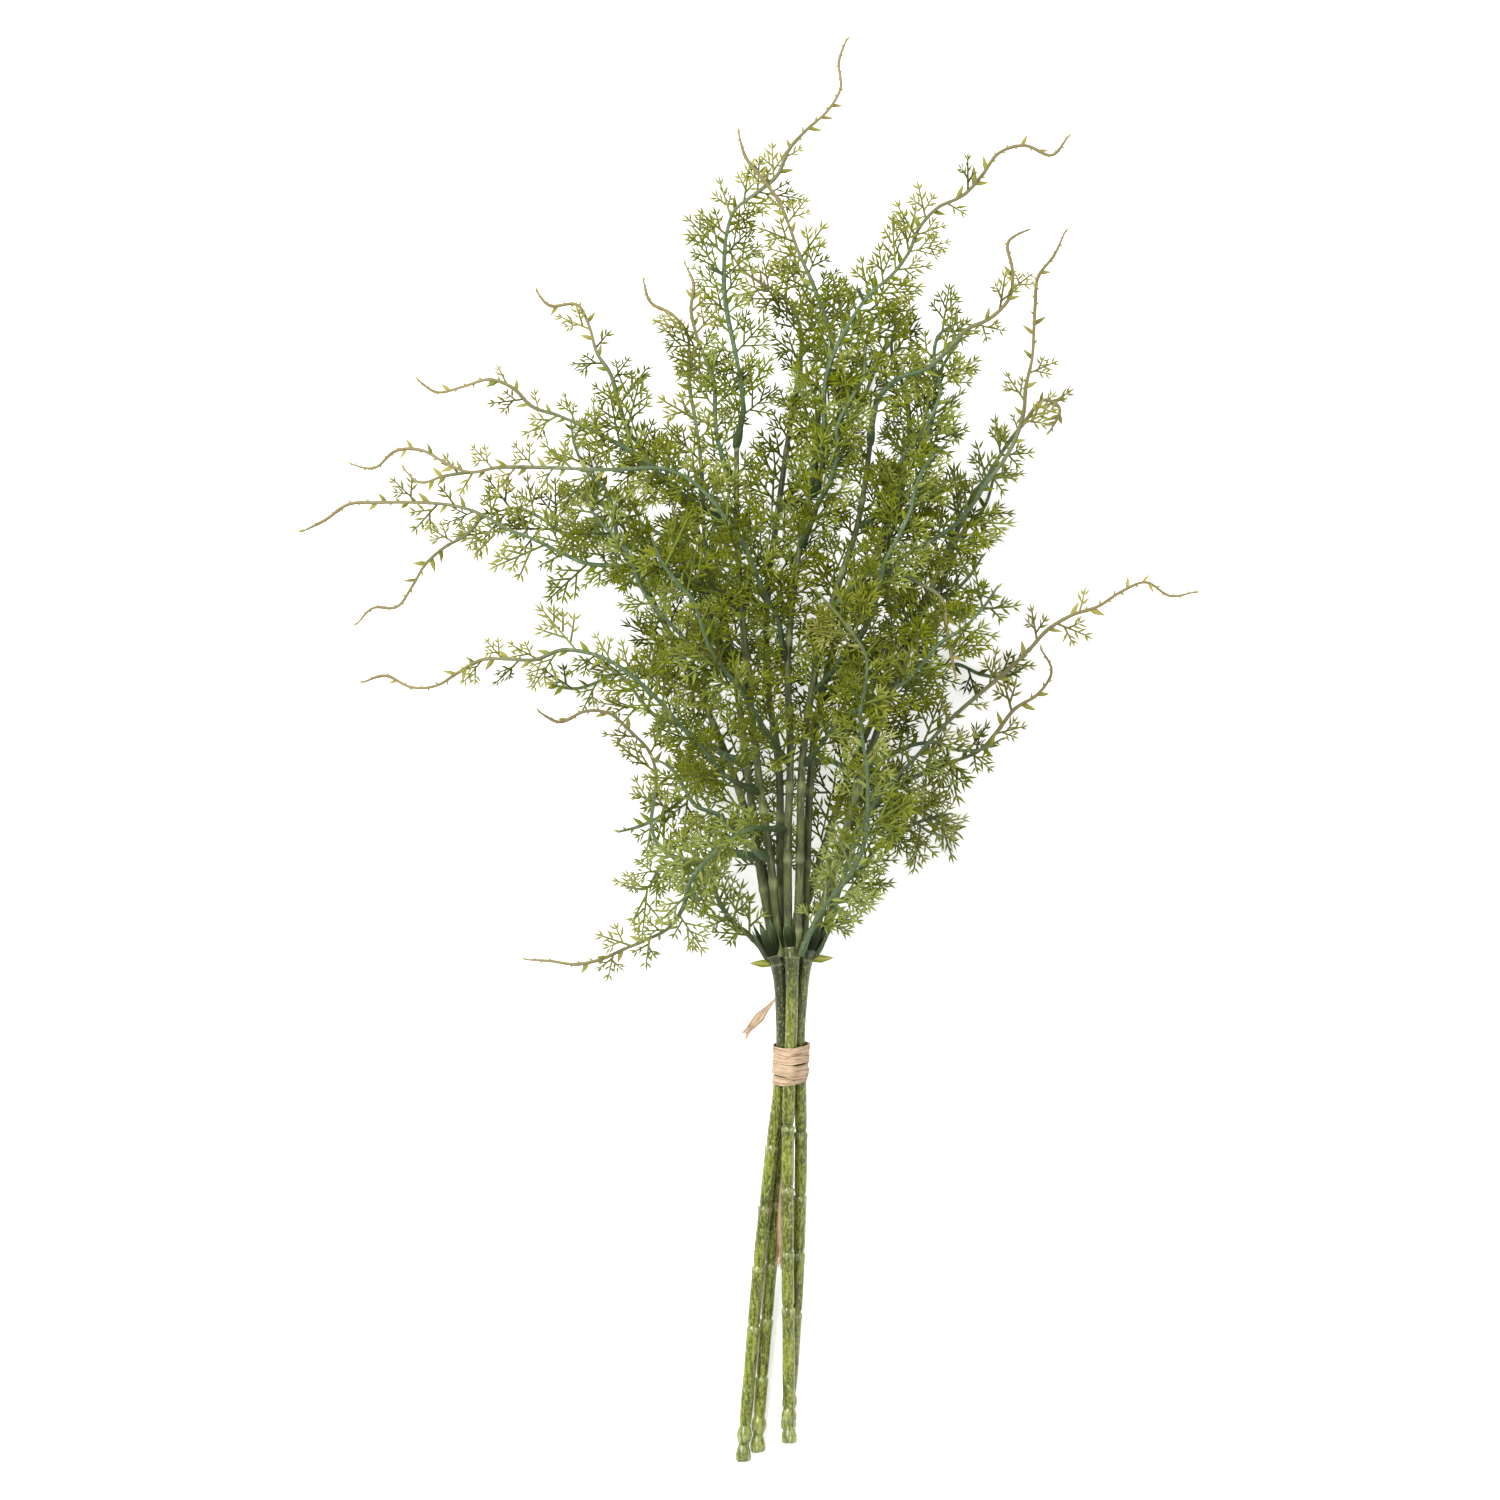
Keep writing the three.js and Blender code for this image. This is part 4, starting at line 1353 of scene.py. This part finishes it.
# ---------------------------------------------------------------------------------------------------------
# Stems and stalks
# ---------------------------------------------------------------------------------------------------------
@dataclass(frozen=True)
class Joint:
    """The shape of a stem near a joint: steps from the joint, radii, and how pale each ring is, which is
    bloom and a painted highlight on the shoulders.
    """

    offsets: Tuple[float, ...]
    radii: Tuple[float, ...]
    pale: Tuple[float, ...]

    def rings(self, start: float, unit: float, radius: float) -> List[Tuple[float, ...]]:
        """The rings of this shape at a place on a stem.

        Args:
            start: Where it stands.
            unit: How long a step of 1 is.
            radius: How wide a radius of 1 is.

        Returns:
            Each ring's distance, radius and paleness.
        """
        rows = zip(self.offsets, self.radii, self.pale)
        return [(start + step * unit, wide * radius, pale) for step, wide, pale in rows]


@dataclass(frozen=True)
class StemMaker:
    """Models a jointed moulded stem with two swollen knuckles at its cut end and a collar at its top."""

    radius: float = 2.68 * MM
    collar_radius: float = 3.5 * MM
    collar_length: float = 10 * MM
    # The pale values of these shapes are bloom and a painted highlight where the stem swells.
    usual_joint: Joint = Joint(
        (-4.5, -2.4, -1.2, -0.5, 0.1, 0.7, 1.8),
        (1.0, 1.05, 1.09, 1.03, 0.80, 0.84, 0.95),
        (0, 0.3, 0.8, 0.6, 0, 0, 0),
    )
    flared_joint: Joint = Joint(
        (-5.0, -2.4, -0.9, -0.3, 0.1, 0.7, 1.8),
        (1.0, 1.08, 1.22, 1.18, 0.80, 0.84, 0.95),
        (0, 0.3, 0.8, 0.7, 0, 0, 0),
    )
    knuckles: Joint = Joint(
        (0, 0.25, 1.4, 3.6, 5.6, 7.0, 7.8, 8.8, 10.4, 12.2, 14.0, 15.0, 16.0, 17.5),
        (0.8, 1.06, 1.24, 1.2, 1.02, 0.86, 0.80, 0.98, 1.18, 1.22, 1.05, 0.87, 0.84, 0.93),
        (0, 0.6, 0.6, 0.2, 0.5, 0.2, 0, 0.5, 0.8, 0.3, 0.3, 0.1, 0.1, 0),
    )
    collar: Joint = Joint(
        (0.0, 0.3, 0.44, 0.48, 0.55, 0.6, 0.85, 0.94, 1.0, 1.1, 1.2),
        (0.80, 0.88, 0.93, 1.0, 1.0, 0.94, 0.98, 0.96, 0.84, 0.66, 0.36),
        (0, 0, 0.2, 0.9, 0.6, 0, 0, 0.5, 0.2, 0, 0),
    )
    sides: int = 20
    ring_step: float = 5 * MM
    widest_gap: float = 6 * MM
    plain_pale: float = 0.05
    brown_reach: float = 2.5 * MM

    def _fill(self, rings: List[Tuple[float, ...]], end: float, rng: random.Random) -> None:
        """Adds plain rings, a little uneven, until the last one is close to an end."""
        while end - rings[-1][0] > self.widest_gap:
            radius = self.radius * rng.uniform(0.965, 1.0)
            rings.append((rings[-1][0] + self.ring_step, radius, self.plain_pale))

    def _rings(
        self, length: float, joints: Sequence[float], flared: int, rng: random.Random
    ) -> List[Tuple[float, ...]]:
        """Each ring's distance, radius and paleness.

        Args:
            length: The stem's length.
            joints: Where the stem draws in, measured from its cut end.
            flared: Which joint has a flared lip, or -1 for none.
            rng: What makes the radii a little uneven.

        Returns:
            The rings from the cut end to the collar's top.
        """
        rings = self.knuckles.rings(0.0, MM, self.radius)
        for number, joint in enumerate(joints):
            shape = self.flared_joint if number == flared else self.usual_joint
            near = shape.rings(joint, MM, self.radius)
            self._fill(rings, near[0][0], rng)
            rings += near
        start = length - self.collar_length
        self._fill(rings, start, rng)
        return rings + self.collar.rings(start, self.collar_length, self.collar_radius)

    def stem(self, route: Route, joints: Sequence[float], flared: int, seed: int) -> bmesh.types.BMesh:
        """Models one stem on its route.

        Args:
            route: Its route, from its cut end to its collar's top.
            joints: Where it draws in, measured from its cut end.
            flared: Which joint has a flared lip, or -1 for none.
            seed: What makes it a little uneven.

        Returns:
            The stem as a mesh of its own.
        """
        rng = random.Random(seed)
        rows = self._rings(route.length, joints, flared, rng)
        mesh = straight_tube([(distance, radius) for distance, radius, _ in rows], self.sides)
        tips, tints, growths = (layer_of(mesh, paint) for paint in (Paint.TIP, Paint.TINT, Paint.GROWTH))
        # Each ring's paleness goes on TIP: bloom and a painted highlight on the joints' shoulders.
        pale = {round(distance / MM, 3): paleness for distance, _, paleness in rows}
        brown = joints[len(joints) // 2]
        phases = [rng.uniform(0, math.tau) for _ in range(3)]
        for vert in mesh.verts:
            distance = vert.co.z
            vert[tips] = pale.get(round(distance / MM, 3), 0.0)
            vert[growths] = min(1.0, max(0.0, distance / route.length))
            vert[tints] = max(0.0, 1 - abs(distance - brown) / self.brown_reach)
            angle = math.atan2(vert.co.y, vert.co.x)
            wave = math.sin(3 * angle + phases[0] + distance / (9 * MM)) + math.sin(7 * angle + phases[1])
            vert.co.xy *= 1 + 0.012 * wave + 0.012 * math.sin(distance / (5 * MM) + phases[2])
        bend(mesh, route)
        return mesh


@dataclass(frozen=True)
class CrownMaker:
    """Models the dark pointed sheaths that stand round a collar's top, and a small leaf below them."""

    leaves: SprayMaker
    sheaths: int = 7
    reach: float = 2.3 * MM
    length: float = 17 * MM
    width: float = 4.0 * MM
    thickness: float = 1.4 * MM
    leaf_size: Tuple[float, float] = (9.0 * MM, 3.4 * MM)
    leaf_lean: float = 1.25
    leaf_reach: float = 3.0 * MM
    leaf_below: float = 4.0 * MM
    sheath_below: float = 2.0 * MM

    def crown(self, route: Route, leaf_angle: Optional[float], seed: int) -> bmesh.types.BMesh:
        """Models one collar's crown.

        Args:
            route: The stem's route.
            leaf_angle: How far round the collar its small leaf is, if it has one.
            seed: What varies it.

        Returns:
            The crown as a mesh of its own.
        """
        rng = random.Random(seed)
        mesh = new_mesh()
        for i in range(self.sheaths):
            angle = math.tau * (i + rng.uniform(-0.25, 0.25)) / self.sheaths
            self._sheath(mesh, route, angle, rng)
        if leaf_angle is not None:
            first = len(mesh.verts)
            place = self._place(route, leaf_angle, self.leaf_lean, self.leaf_reach, self.leaf_below, UP)
            self.leaves.leaf(mesh, place, *self.leaf_size, self.leaves.single_bands)
            mesh.verts.ensure_lookup_table()
            put_paint(mesh, mesh.verts[first:], growth=0.9, tint=0.6)
        return mesh

    @staticmethod
    def _place(
        route: Route,
        angle: float,
        lean: float,
        reach: float,
        below: float,
        faced: Optional[Vector] = None,
    ) -> Matrix:
        """A place near the collar's rim.

        Args:
            route: The stem's route.
            angle: How far round the collar it is.
            lean: How far its Z leans out from the stem.
            reach: How far it is from the stem's middle.
            below: How far it is below the collar's top.
            faced: What its Y faces, which is outwards if it isn't given.

        Returns:
            The place as a matrix.
        """
        spot = route.level_at(route.length - below)
        out = spot.beside * math.cos(angle) + spot.above * math.sin(angle)
        way = (spot.along * math.cos(lean) + out * math.sin(lean)).normalized()
        faced = out if faced is None else faced
        face = (faced - way * faced.dot(way)).normalized()
        return placed(spot.point + out * reach, face.cross(way), face, way)

    def _sheath(self, mesh: bmesh.types.BMesh, route: Route, angle: float, rng: random.Random) -> None:
        """Adds one pointed sheath, keeled outside, that leans out and curves in at its point.

        Args:
            mesh: The mesh that gets it.
            route: The stem's route.
            angle: How far round the collar it is.
            rng: What varies it.
        """
        made = bmesh.ops.create_uvsphere(mesh, u_segments=8, v_segments=8, radius=1)["verts"]
        growths = layer_of(mesh, Paint.GROWTH)
        length = self.length * rng.uniform(0.75, 1.15)
        place = self._place(route, angle, rng.uniform(0.12, 0.42), self.reach, self.sheath_below)
        tint = rng.random()
        for vert in made:
            height = (vert.co.z + 1) / 2
            taper = (1 - height) ** 0.35 * 1.15
            vert[growths] = 0.7 * height**3 - 0.3
            wide, deep = vert.co.x * taper * self.width / 2, vert.co.y * taper * self.thickness / 2
            vert.co = place @ Vector((wide, deep - 2.2 * height**2 * MM + 0.8 * MM * height, height * length))
        put_paint(mesh, made, tint=tint)


@dataclass(frozen=True)
class StalkMaker:
    """Models a thin stalk with long ridges and a ring at each of its nodes."""

    radius: float = 1.85 * MM
    tip_radius: float = 1.1 * MM
    sunk: float = 2.6 * MM
    ring_step: float = 2 * MM
    node_step: float = 31 * MM
    sides: int = 12
    ridge: float = 0.1
    node_reach: float = 2.6 * MM

    def stalk(self, route: Route, seed: int) -> bmesh.types.BMesh:
        """Models one stalk on its route.

        Args:
            route: Its route, from its collar up.
            seed: What sets the places of its nodes.

        Returns:
            The stalk as a mesh of its own.
        """
        rng = random.Random(seed)
        shift = rng.uniform(0.2, 0.8)
        count = round((route.length + self.sunk) / self.ring_step)
        rings: List[Ring] = []
        for i in range(count + 1):
            distance = (route.length + self.sunk) * i / count - self.sunk
            radius = self.radius + (self.tip_radius - self.radius) * i / count
            radius *= 1 + 0.2 * self._node(distance, shift) + rng.uniform(-0.02, 0.02)
            rings.append((distance, radius))
        mesh = straight_tube(rings, self.sides, self.ridge)
        tips, growths = layer_of(mesh, Paint.TIP), layer_of(mesh, Paint.GROWTH)
        for vert in mesh.verts:
            vert[tips] = self._node(vert.co.z, shift)
            vert[growths] = min(1.0, max(0.0, vert.co.z / route.length))
        bend(mesh, route)
        return mesh

    def _node(self, distance: float, shift: float) -> float:
        """1 on a node's ring, falling to 0 beside it."""
        away = abs((distance / self.node_step + shift) % 1 - 0.5) * self.node_step
        return max(0.0, 1 - away / self.node_reach)


# ---------------------------------------------------------------------------------------------------------
# Raffia
# ---------------------------------------------------------------------------------------------------------
@dataclass(frozen=True)
class RaffiaMaker:
    """Models flat strands of raffia: the turns round the stems and the two free ends."""

    strand_width: float = 3.7 * MM
    thickness: float = 0.3 * MM
    turns: int = 6
    shift: float = 3.4 * MM
    section_sides: int = 22
    columns: int = 96
    stem_reading: Reading = Reading(6 * MM)
    sunk: Tuple[float, float] = (1.15, 0.8)
    fray: float = 5 * MM
    tail_rings: int = 40
    tail_tint: float = 0.35
    widest_share: float = 0.7
    thread_radius: float = 0.3 * MM
    thread_sides: int = 5

    def _outline(self) -> Tuple[Matrix, Callable[[float], Vector], float]:
        """The tie's own frame, the place of its skin for an angle, and its length along the stems."""
        solid = solid_of("tie_band")
        along = self.stem_reading.routes("stem_front", lambda point: point.y)[0]
        low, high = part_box("tie_band")
        middle = (low + high) / 2
        spots = [along.at(i * MM) for i in range(int(along.length / MM))]
        way = min(spots, key=lambda spot: (spot.point - middle).length).along
        beside = way.cross(UP).normalized()
        place = placed(middle + way * self.shift, beside, way, beside.cross(way))
        back = place.inverted()
        points = [back @ vert.co for vert in solid.verts]
        solid.free()
        length = max(point.y for point in points) - min(point.y for point in points)
        count = self.columns
        reach = [max(point.dot(self._out(math.tau * i / count)) for point in points) for i in range(count)]
        for _ in range(2):
            reach = [sum(reach[(i + j) % count] for j in range(-3, 4)) / 7 for i in range(count)]

        def skin(angle: float) -> Vector:
            """The place of the outline whose skin faces a direction across the stems.

            Args:
                angle: The direction.

            Returns:
                The place, across the stems.
            """
            i = round(angle / math.tau * count) % count
            slope = (reach[(i + 1) % count] - reach[i - 1]) / (2 * math.tau / count)
            return self._out(angle) * reach[i] + self._out(angle + math.pi / 2) * slope

        return place, skin, length

    @staticmethod
    def _out(angle: float) -> Vector:
        """A direction across the stems."""
        return Vector((math.cos(angle), 0, math.sin(angle)))

    def _loop(self) -> bmesh.types.BMesh:
        """A closed ring round Z whose round section is 1 across and 2 away from the axis."""
        mesh = new_mesh()
        section = bmesh.ops.create_circle(mesh, segments=self.section_sides, radius=0.5)["verts"]
        upright = Matrix.Translation((2, 0, 0)) @ Matrix.Rotation(math.pi / 2, 4, "X")
        bmesh.ops.transform(mesh, verts=section, matrix=upright)
        bmesh.ops.spin(
            mesh,
            geom=[*mesh.verts, *mesh.edges],
            cent=(0, 0, 0),
            axis=(0, 0, 1),
            angle=math.tau,
            steps=self.columns,
            use_merge=True,
        )
        return mesh

    def wraps(self) -> List[bmesh.types.BMesh]:
        """The turns of raffia round the stems, each slanted its own way and overlapping the next."""
        place, skin, length = self._outline()
        spread = (length - self.strand_width * 0.95) / (self.turns - 1)
        made: List[bmesh.types.BMesh] = []
        for number in range(self.turns):
            rng = random.Random(40 + number)
            mesh = self._loop()
            width = self.strand_width * rng.uniform(0.9, 1.1)
            slant = rng.uniform(0.4, 1.1) * MM * rng.choice((-1, 1))
            shift = (number - (self.turns - 1) / 2) * spread + rng.uniform(-0.25, 0.25) * MM
            sunk = self.sunk[number % 2]
            phases = [rng.uniform(0, math.tau) for _ in range(4)]
            growths, tips = layer_of(mesh, Paint.GROWTH), layer_of(mesh, Paint.TIP)
            for vert in mesh.verts:
                angle = math.atan2(vert.co.y, vert.co.x)
                layer, across = math.hypot(vert.co.x, vert.co.y) - 2, vert.co.z
                vert[growths] = abs(angle) / math.pi
                vert[tips] = across + 0.5
                out = self._out(angle)
                crease = 0.15 * math.sin(across * 17 + phases[0] + math.sin(angle * 2 + phases[1]))
                wave = 0.3 * math.sin(3 * angle + phases[2]) * across
                narrowing = 1 + 0.08 * math.sin(4 * angle + phases[0])
                run = shift + slant * math.sin(angle + phases[3]) + across * width * narrowing
                spot = skin(angle) + out * (layer * self.thickness + (crease + wave - sunk) * MM)
                vert.co = place @ Vector((spot.x, run, spot.z))
            put_paint(mesh, mesh.verts, tint=number / self.turns)
            bmesh.ops.recalc_face_normals(mesh, faces=mesh.faces)
            made.append(mesh)
        return made

    def tail(
        self, route: Route, widths: Tuple[float, float, float], frays: int, seed: int
    ) -> bmesh.types.BMesh:
        """A free end of raffia: a creased ribbon that splits into threads at its tip.

        Args:
            route: Its route, from the tie to its tip.
            widths: How wide it is at the tie, at its widest, and where it splits.
            frays: How many threads its tip splits into.
            seed: What sets its creases.

        Returns:
            The finished mesh.
        """
        rng = random.Random(seed)
        whole = route.length - self.fray * 0.6
        first, widest, last = widths
        rings = [(whole * i / self.tail_rings, 1.0) for i in range(self.tail_rings + 1)]
        mesh = straight_tube(rings, self.section_sides)
        phase = rng.uniform(0, math.tau)
        put_paint(mesh, mesh.verts, tint=self.tail_tint)
        growths, tips = layer_of(mesh, Paint.GROWTH), layer_of(mesh, Paint.TIP)
        for vert in mesh.verts:
            across, layer, distance = vert.co
            share = distance / whole
            rise = min(1.0, share / self.widest_share)
            fall = max(0.0, share - self.widest_share) / 0.3
            width = first + (widest - first) * rise**2.5 + (last - widest) * fall
            fold = 0.45 * MM * math.cos(across * 3.2 + phase) * width / widest
            fold += 0.3 * MM * math.sin(distance / (8 * MM))
            vert[growths] = share
            vert[tips] = across / 2 + 0.5
            spot = route.level_at(distance)
            vert.co = spot.lifted(across * width / 2, layer * self.thickness / 2 + fold)
        for number in range(frays):
            place = (number + 0.5) / frays - 0.5
            splay = place * 0.5 + rng.uniform(-0.12, 0.12)
            length = self.fray * rng.uniform(0.5, 1.0)
            foot, radius = whole - 1.5 * MM, self.thread_radius
            rings = [(foot, radius), (whole, radius), (whole + 0.6 * length, 0.2 * MM)]
            thread = straight_tube([*rings, (whole + length, 0.08 * MM)], self.thread_sides)
            put_paint(thread, thread.verts, tint=self.tail_tint, growth=1.0, tip=number / frays)
            for vert in thread.verts:
                gone = vert.co.z - whole
                spot = route.level_at(vert.co.z)
                beside = vert.co.x * 1.6 + place * last * 0.8 + splay * gone
                vert.co = spot.lifted(beside, vert.co.y + splay * gone * 0.5)
            add_mesh(mesh, thread)
        bmesh.ops.recalc_face_normals(mesh, faces=mesh.faces)
        return mesh


# ---------------------------------------------------------------------------------------------------------
# The studio
# ---------------------------------------------------------------------------------------------------------
@dataclass(frozen=True)
class Studio:
    """A pale floor, soft lights and a camera with a long lens that looks straight down."""

    lens: float = 250.0
    sensor: float = 36.0
    view_width: float = 0.6295
    view_height: float = 0.04
    view_shift: float = 3.2 * MM
    surroundings: float = 0.62
    floor_size: float = 8.0
    floor_gap: float = 0.1 * MM

    def _light(self, name: str, place: Vector, size: float, power: float, target: Vector) -> None:
        """Adds a square soft light.

        Args:
            name: Its name.
            place: Where it is.
            size: How wide it is.
            power: How strong it is, in watts.
            target: What it faces.
        """
        data = bpy.data.lights.new(name, "AREA")
        data.size = size
        data.energy = power
        lamp = new_object(name, data)
        lamp.location = place
        lamp.rotation_euler = (target - place).to_track_quat("-Z", "Y").to_euler()

    def build(self) -> None:
        """Builds the floor, the lights, the surroundings and the camera."""
        low, high = CAD_BOX
        middle = (low + high) / 2
        mesh = new_mesh()
        bmesh.ops.create_grid(mesh, x_segments=8, y_segments=8, size=self.floor_size / 2)
        data = data_of(mesh, "floor")
        data.materials.append(FloorFinish().material())
        floor = new_object("floor", data)
        floor.location.z = low.z - self.floor_gap
        floor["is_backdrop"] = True
        self._light("key", middle + Vector((-0.8, 0.8, 1.6)), 1.0, 54, middle)
        self._light("fill", middle + Vector((1.3, -0.6, 1.3)), 1.6, 10, middle)
        world = bpy.data.worlds.new("surroundings")
        world.use_nodes = True
        background = world.node_tree.nodes["Background"].inputs
        background["Color"].default_value = (1, 1, 1, 1)
        background["Strength"].default_value = self.surroundings
        bpy.context.scene.world = world
        bpy.context.scene.view_settings.view_transform = "Standard"
        data = bpy.data.cameras.new("camera")
        data.lens = self.lens
        data.sensor_width = self.sensor
        camera = new_object("camera", data)
        height = self.view_height + self.view_width * self.lens / self.sensor
        camera.location = (middle.x, middle.y + self.view_shift, height)
        bpy.context.scene.camera = camera


# ---------------------------------------------------------------------------------------------------------
# The bunch
# ---------------------------------------------------------------------------------------------------------
@dataclass(frozen=True)
class StemLayout:
    """Where a stem's joints are, in millimetres from its cut end, and what sets it apart.

    One joint may have a flared lip. The stem may have painted shade above the tie, and may have a small leaf
    at its collar.
    """

    joints: Tuple[float, ...]
    flared: int = -1
    shade: float = 0.0
    leaf_angle: Optional[float] = None


# A layout's shade is how much painted shade the stem gets above the tie.
STEM_LAYOUTS = {
    "stem_left": StemLayout((58, 84, 110, 137, 166), 2, 0.95, math.pi),
    "stem_front": StemLayout((58, 82, 110, 137), shade=0.3),
    "stem_right": StemLayout((50, 76, 101, 129, 156), shade=0.45, leaf_angle=0.0),
    "stem_back": StemLayout((32, 57, 81, 108, 136, 165)),
}

# The habits of the fronds with one of these words in their names. The inner ones are green up to their tips.
HABITS = {
    "under": Habit.UNDER,
    **dict.fromkeys(("fill", "inner"), Habit.INNER),
    **dict.fromkeys(("crown", "top"), Habit.RICH),
    **dict.fromkeys(("low", "near", "mid", "arch"), Habit.LOW),
    "right": Habit.SPARSE,
}

# The share of a frond's length at which it has a blunt stub.
STUBS = {"frond_crown": 0.38, "frond_crown_right": 0.42, "frond_left_sweep": 0.4}


# Where the sprays on a stalk start, along Y, for the stalks with one of these words in their names.
LOWEST_SPRAYS = {"back": -48 * MM, "right": 10 * MM, "left": 28 * MM, "front": 28 * MM}


@dataclass(frozen=True)
class TailLayout:
    """A free end of raffia: its widths at the tie, at its widest and where it splits, and its threads."""

    widths: Tuple[float, float, float]
    frays: int
    rise: float = 0.0


class Bunch:
    """The whole bunch, built piece by piece on the routes of its solids."""

    STEM_READING = Reading(6.2 * MM)
    STALK_READING = Reading(3.6 * MM)
    FROND_READING = Reading(3.4 * MM, 32 * MM)
    TAIL_READING = Reading(3.2 * MM)
    TAIL_LEAD = 7 * MM
    TAIL_SEED = 7

    def __init__(self) -> None:
        """Sorts the CAD nodes by what they are."""
        nodes = sorted(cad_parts)
        self.stems = [node for node in nodes if node.startswith("stem_")]
        self.stalks = [node for node in nodes if node.startswith("stalk_")]
        self.fronds = [node for node in nodes if node.startswith("frond_")]
        self.maker = Maker()
        self.sprays = SprayMaker()
        self.planter = Planter(Shelf(self.sprays), Room())
        self.frond_finish = FrondFinish().material()

    def _carriers(self) -> BVHTree:
        """The skins of all that a frond can be plugged on."""
        mesh = bmesh.new()
        for node in [*self.stems, *self.stalks]:
            mesh.from_mesh(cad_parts[node].data)
        tree = BVHTree.FromBMesh(mesh)
        mesh.free()
        return tree

    def add_stems(self) -> None:
        """Builds the stems, with a crown of sheaths on each collar."""
        finish = StemFinish().material()
        crowns = CrownMaker(self.sprays)
        for seed, node in enumerate(self.stems):
            route = self.STEM_READING.routes(node, lambda point: point.y)[0]
            layout = STEM_LAYOUTS[node]
            joints = [distance * MM for distance in layout.joints]
            stem = StemMaker().stem(route, joints, layout.flared, seed)
            # Gives the stem its painted shade above the tie.
            put_paint(stem, stem.verts, shade=layout.shade)
            self.maker.piece(node, stem, finish, "stem_green", [node])
            crown = crowns.crown(route, layout.leaf_angle, seed)
            name = node.replace("stem", "crown")
            self.maker.piece(name, crown, self.frond_finish, "frond_green", smooth=False)

    def add_stalks(self) -> None:
        """Builds the stalks and the sprays that stand on them."""
        finish = StalkFinish().material()
        sides = SideSprays(self.planter)
        for seed, node in enumerate(self.stalks):
            route = self.STALK_READING.routes(node, lambda point: point.y)[0]
            self.maker.piece(node, StalkMaker().stalk(route, seed), finish, "stalk_green", [node])
            side = node.split("_")[1]
            sprays = sides.sprays(route, LOWEST_SPRAYS[side], seed)
            if sprays.verts:
                self.maker.piece(f"{node}_sprays", sprays, self.frond_finish, "frond_green", smooth=False)

    def add_fronds(self) -> None:
        """Builds the fronds."""
        carriers = self._carriers()
        maker = FrondMaker(self.planter)
        for seed, node in enumerate(self.fronds):
            routes = self.FROND_READING.routes(node, lambda point: carriers.find_nearest(point)[3])
            words = node.split("_")
            habit = next((habit for word, habit in HABITS.items() if word in words), Habit.OUTER)
            frond = maker.frond(routes, habit, seed, STUBS.get(node))
            self.maker.piece(node, frond, self.frond_finish, "frond_green", [node], smooth=False)

    def add_tie(self) -> None:
        """Builds the raffia's turns and its free ends."""
        finish = RaffiaFinish().material()
        raffia = RaffiaMaker()
        for number, mesh in enumerate(raffia.wraps()):
            self.maker.piece(f"tie_turn_{number + 1}", mesh, finish, "raffia", ["tie_band"])
        low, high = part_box("tie_band")
        middle = (low + high) / 2
        layouts = {
            "tie_tail_short": TailLayout((0.7 * MM, 4.4 * MM, 2.6 * MM), 6, raffia.shift),
            "tie_tail_long": TailLayout((1.8 * MM, 3.2 * MM, 2.7 * MM), 4),
        }
        for node, layout in layouts.items():
            whole = self.TAIL_READING.routes(node, lambda point: (point - middle).length)[0]
            route = whole.past_peak(self.TAIL_LEAD)
            tail = raffia.tail(route, layout.widths, layout.frays, self.TAIL_SEED)
            bmesh.ops.translate(tail, verts=tail.verts, vec=(0, layout.rise, 0))
            self.maker.piece(node, tail, finish, "raffia", [node])


def write_sizes() -> None:
    """Works out the box of the solids and the box of the visible pieces."""
    boxes = {"cad": CAD_BOX, "visual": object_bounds()}
    {name: [list(corner) for corner in box] for name, box in boxes.items()}


def main() -> None:
    """Builds the studio, then the bunch."""
    logging.basicConfig(level=logging.INFO, format="%(message)s")
    Studio().build()
    bunch = Bunch()
    bunch.add_stems()
    bunch.add_stalks()
    bunch.add_fronds()
    bunch.add_tie()
    write_sizes()


if __name__ == "__main__":
    main()
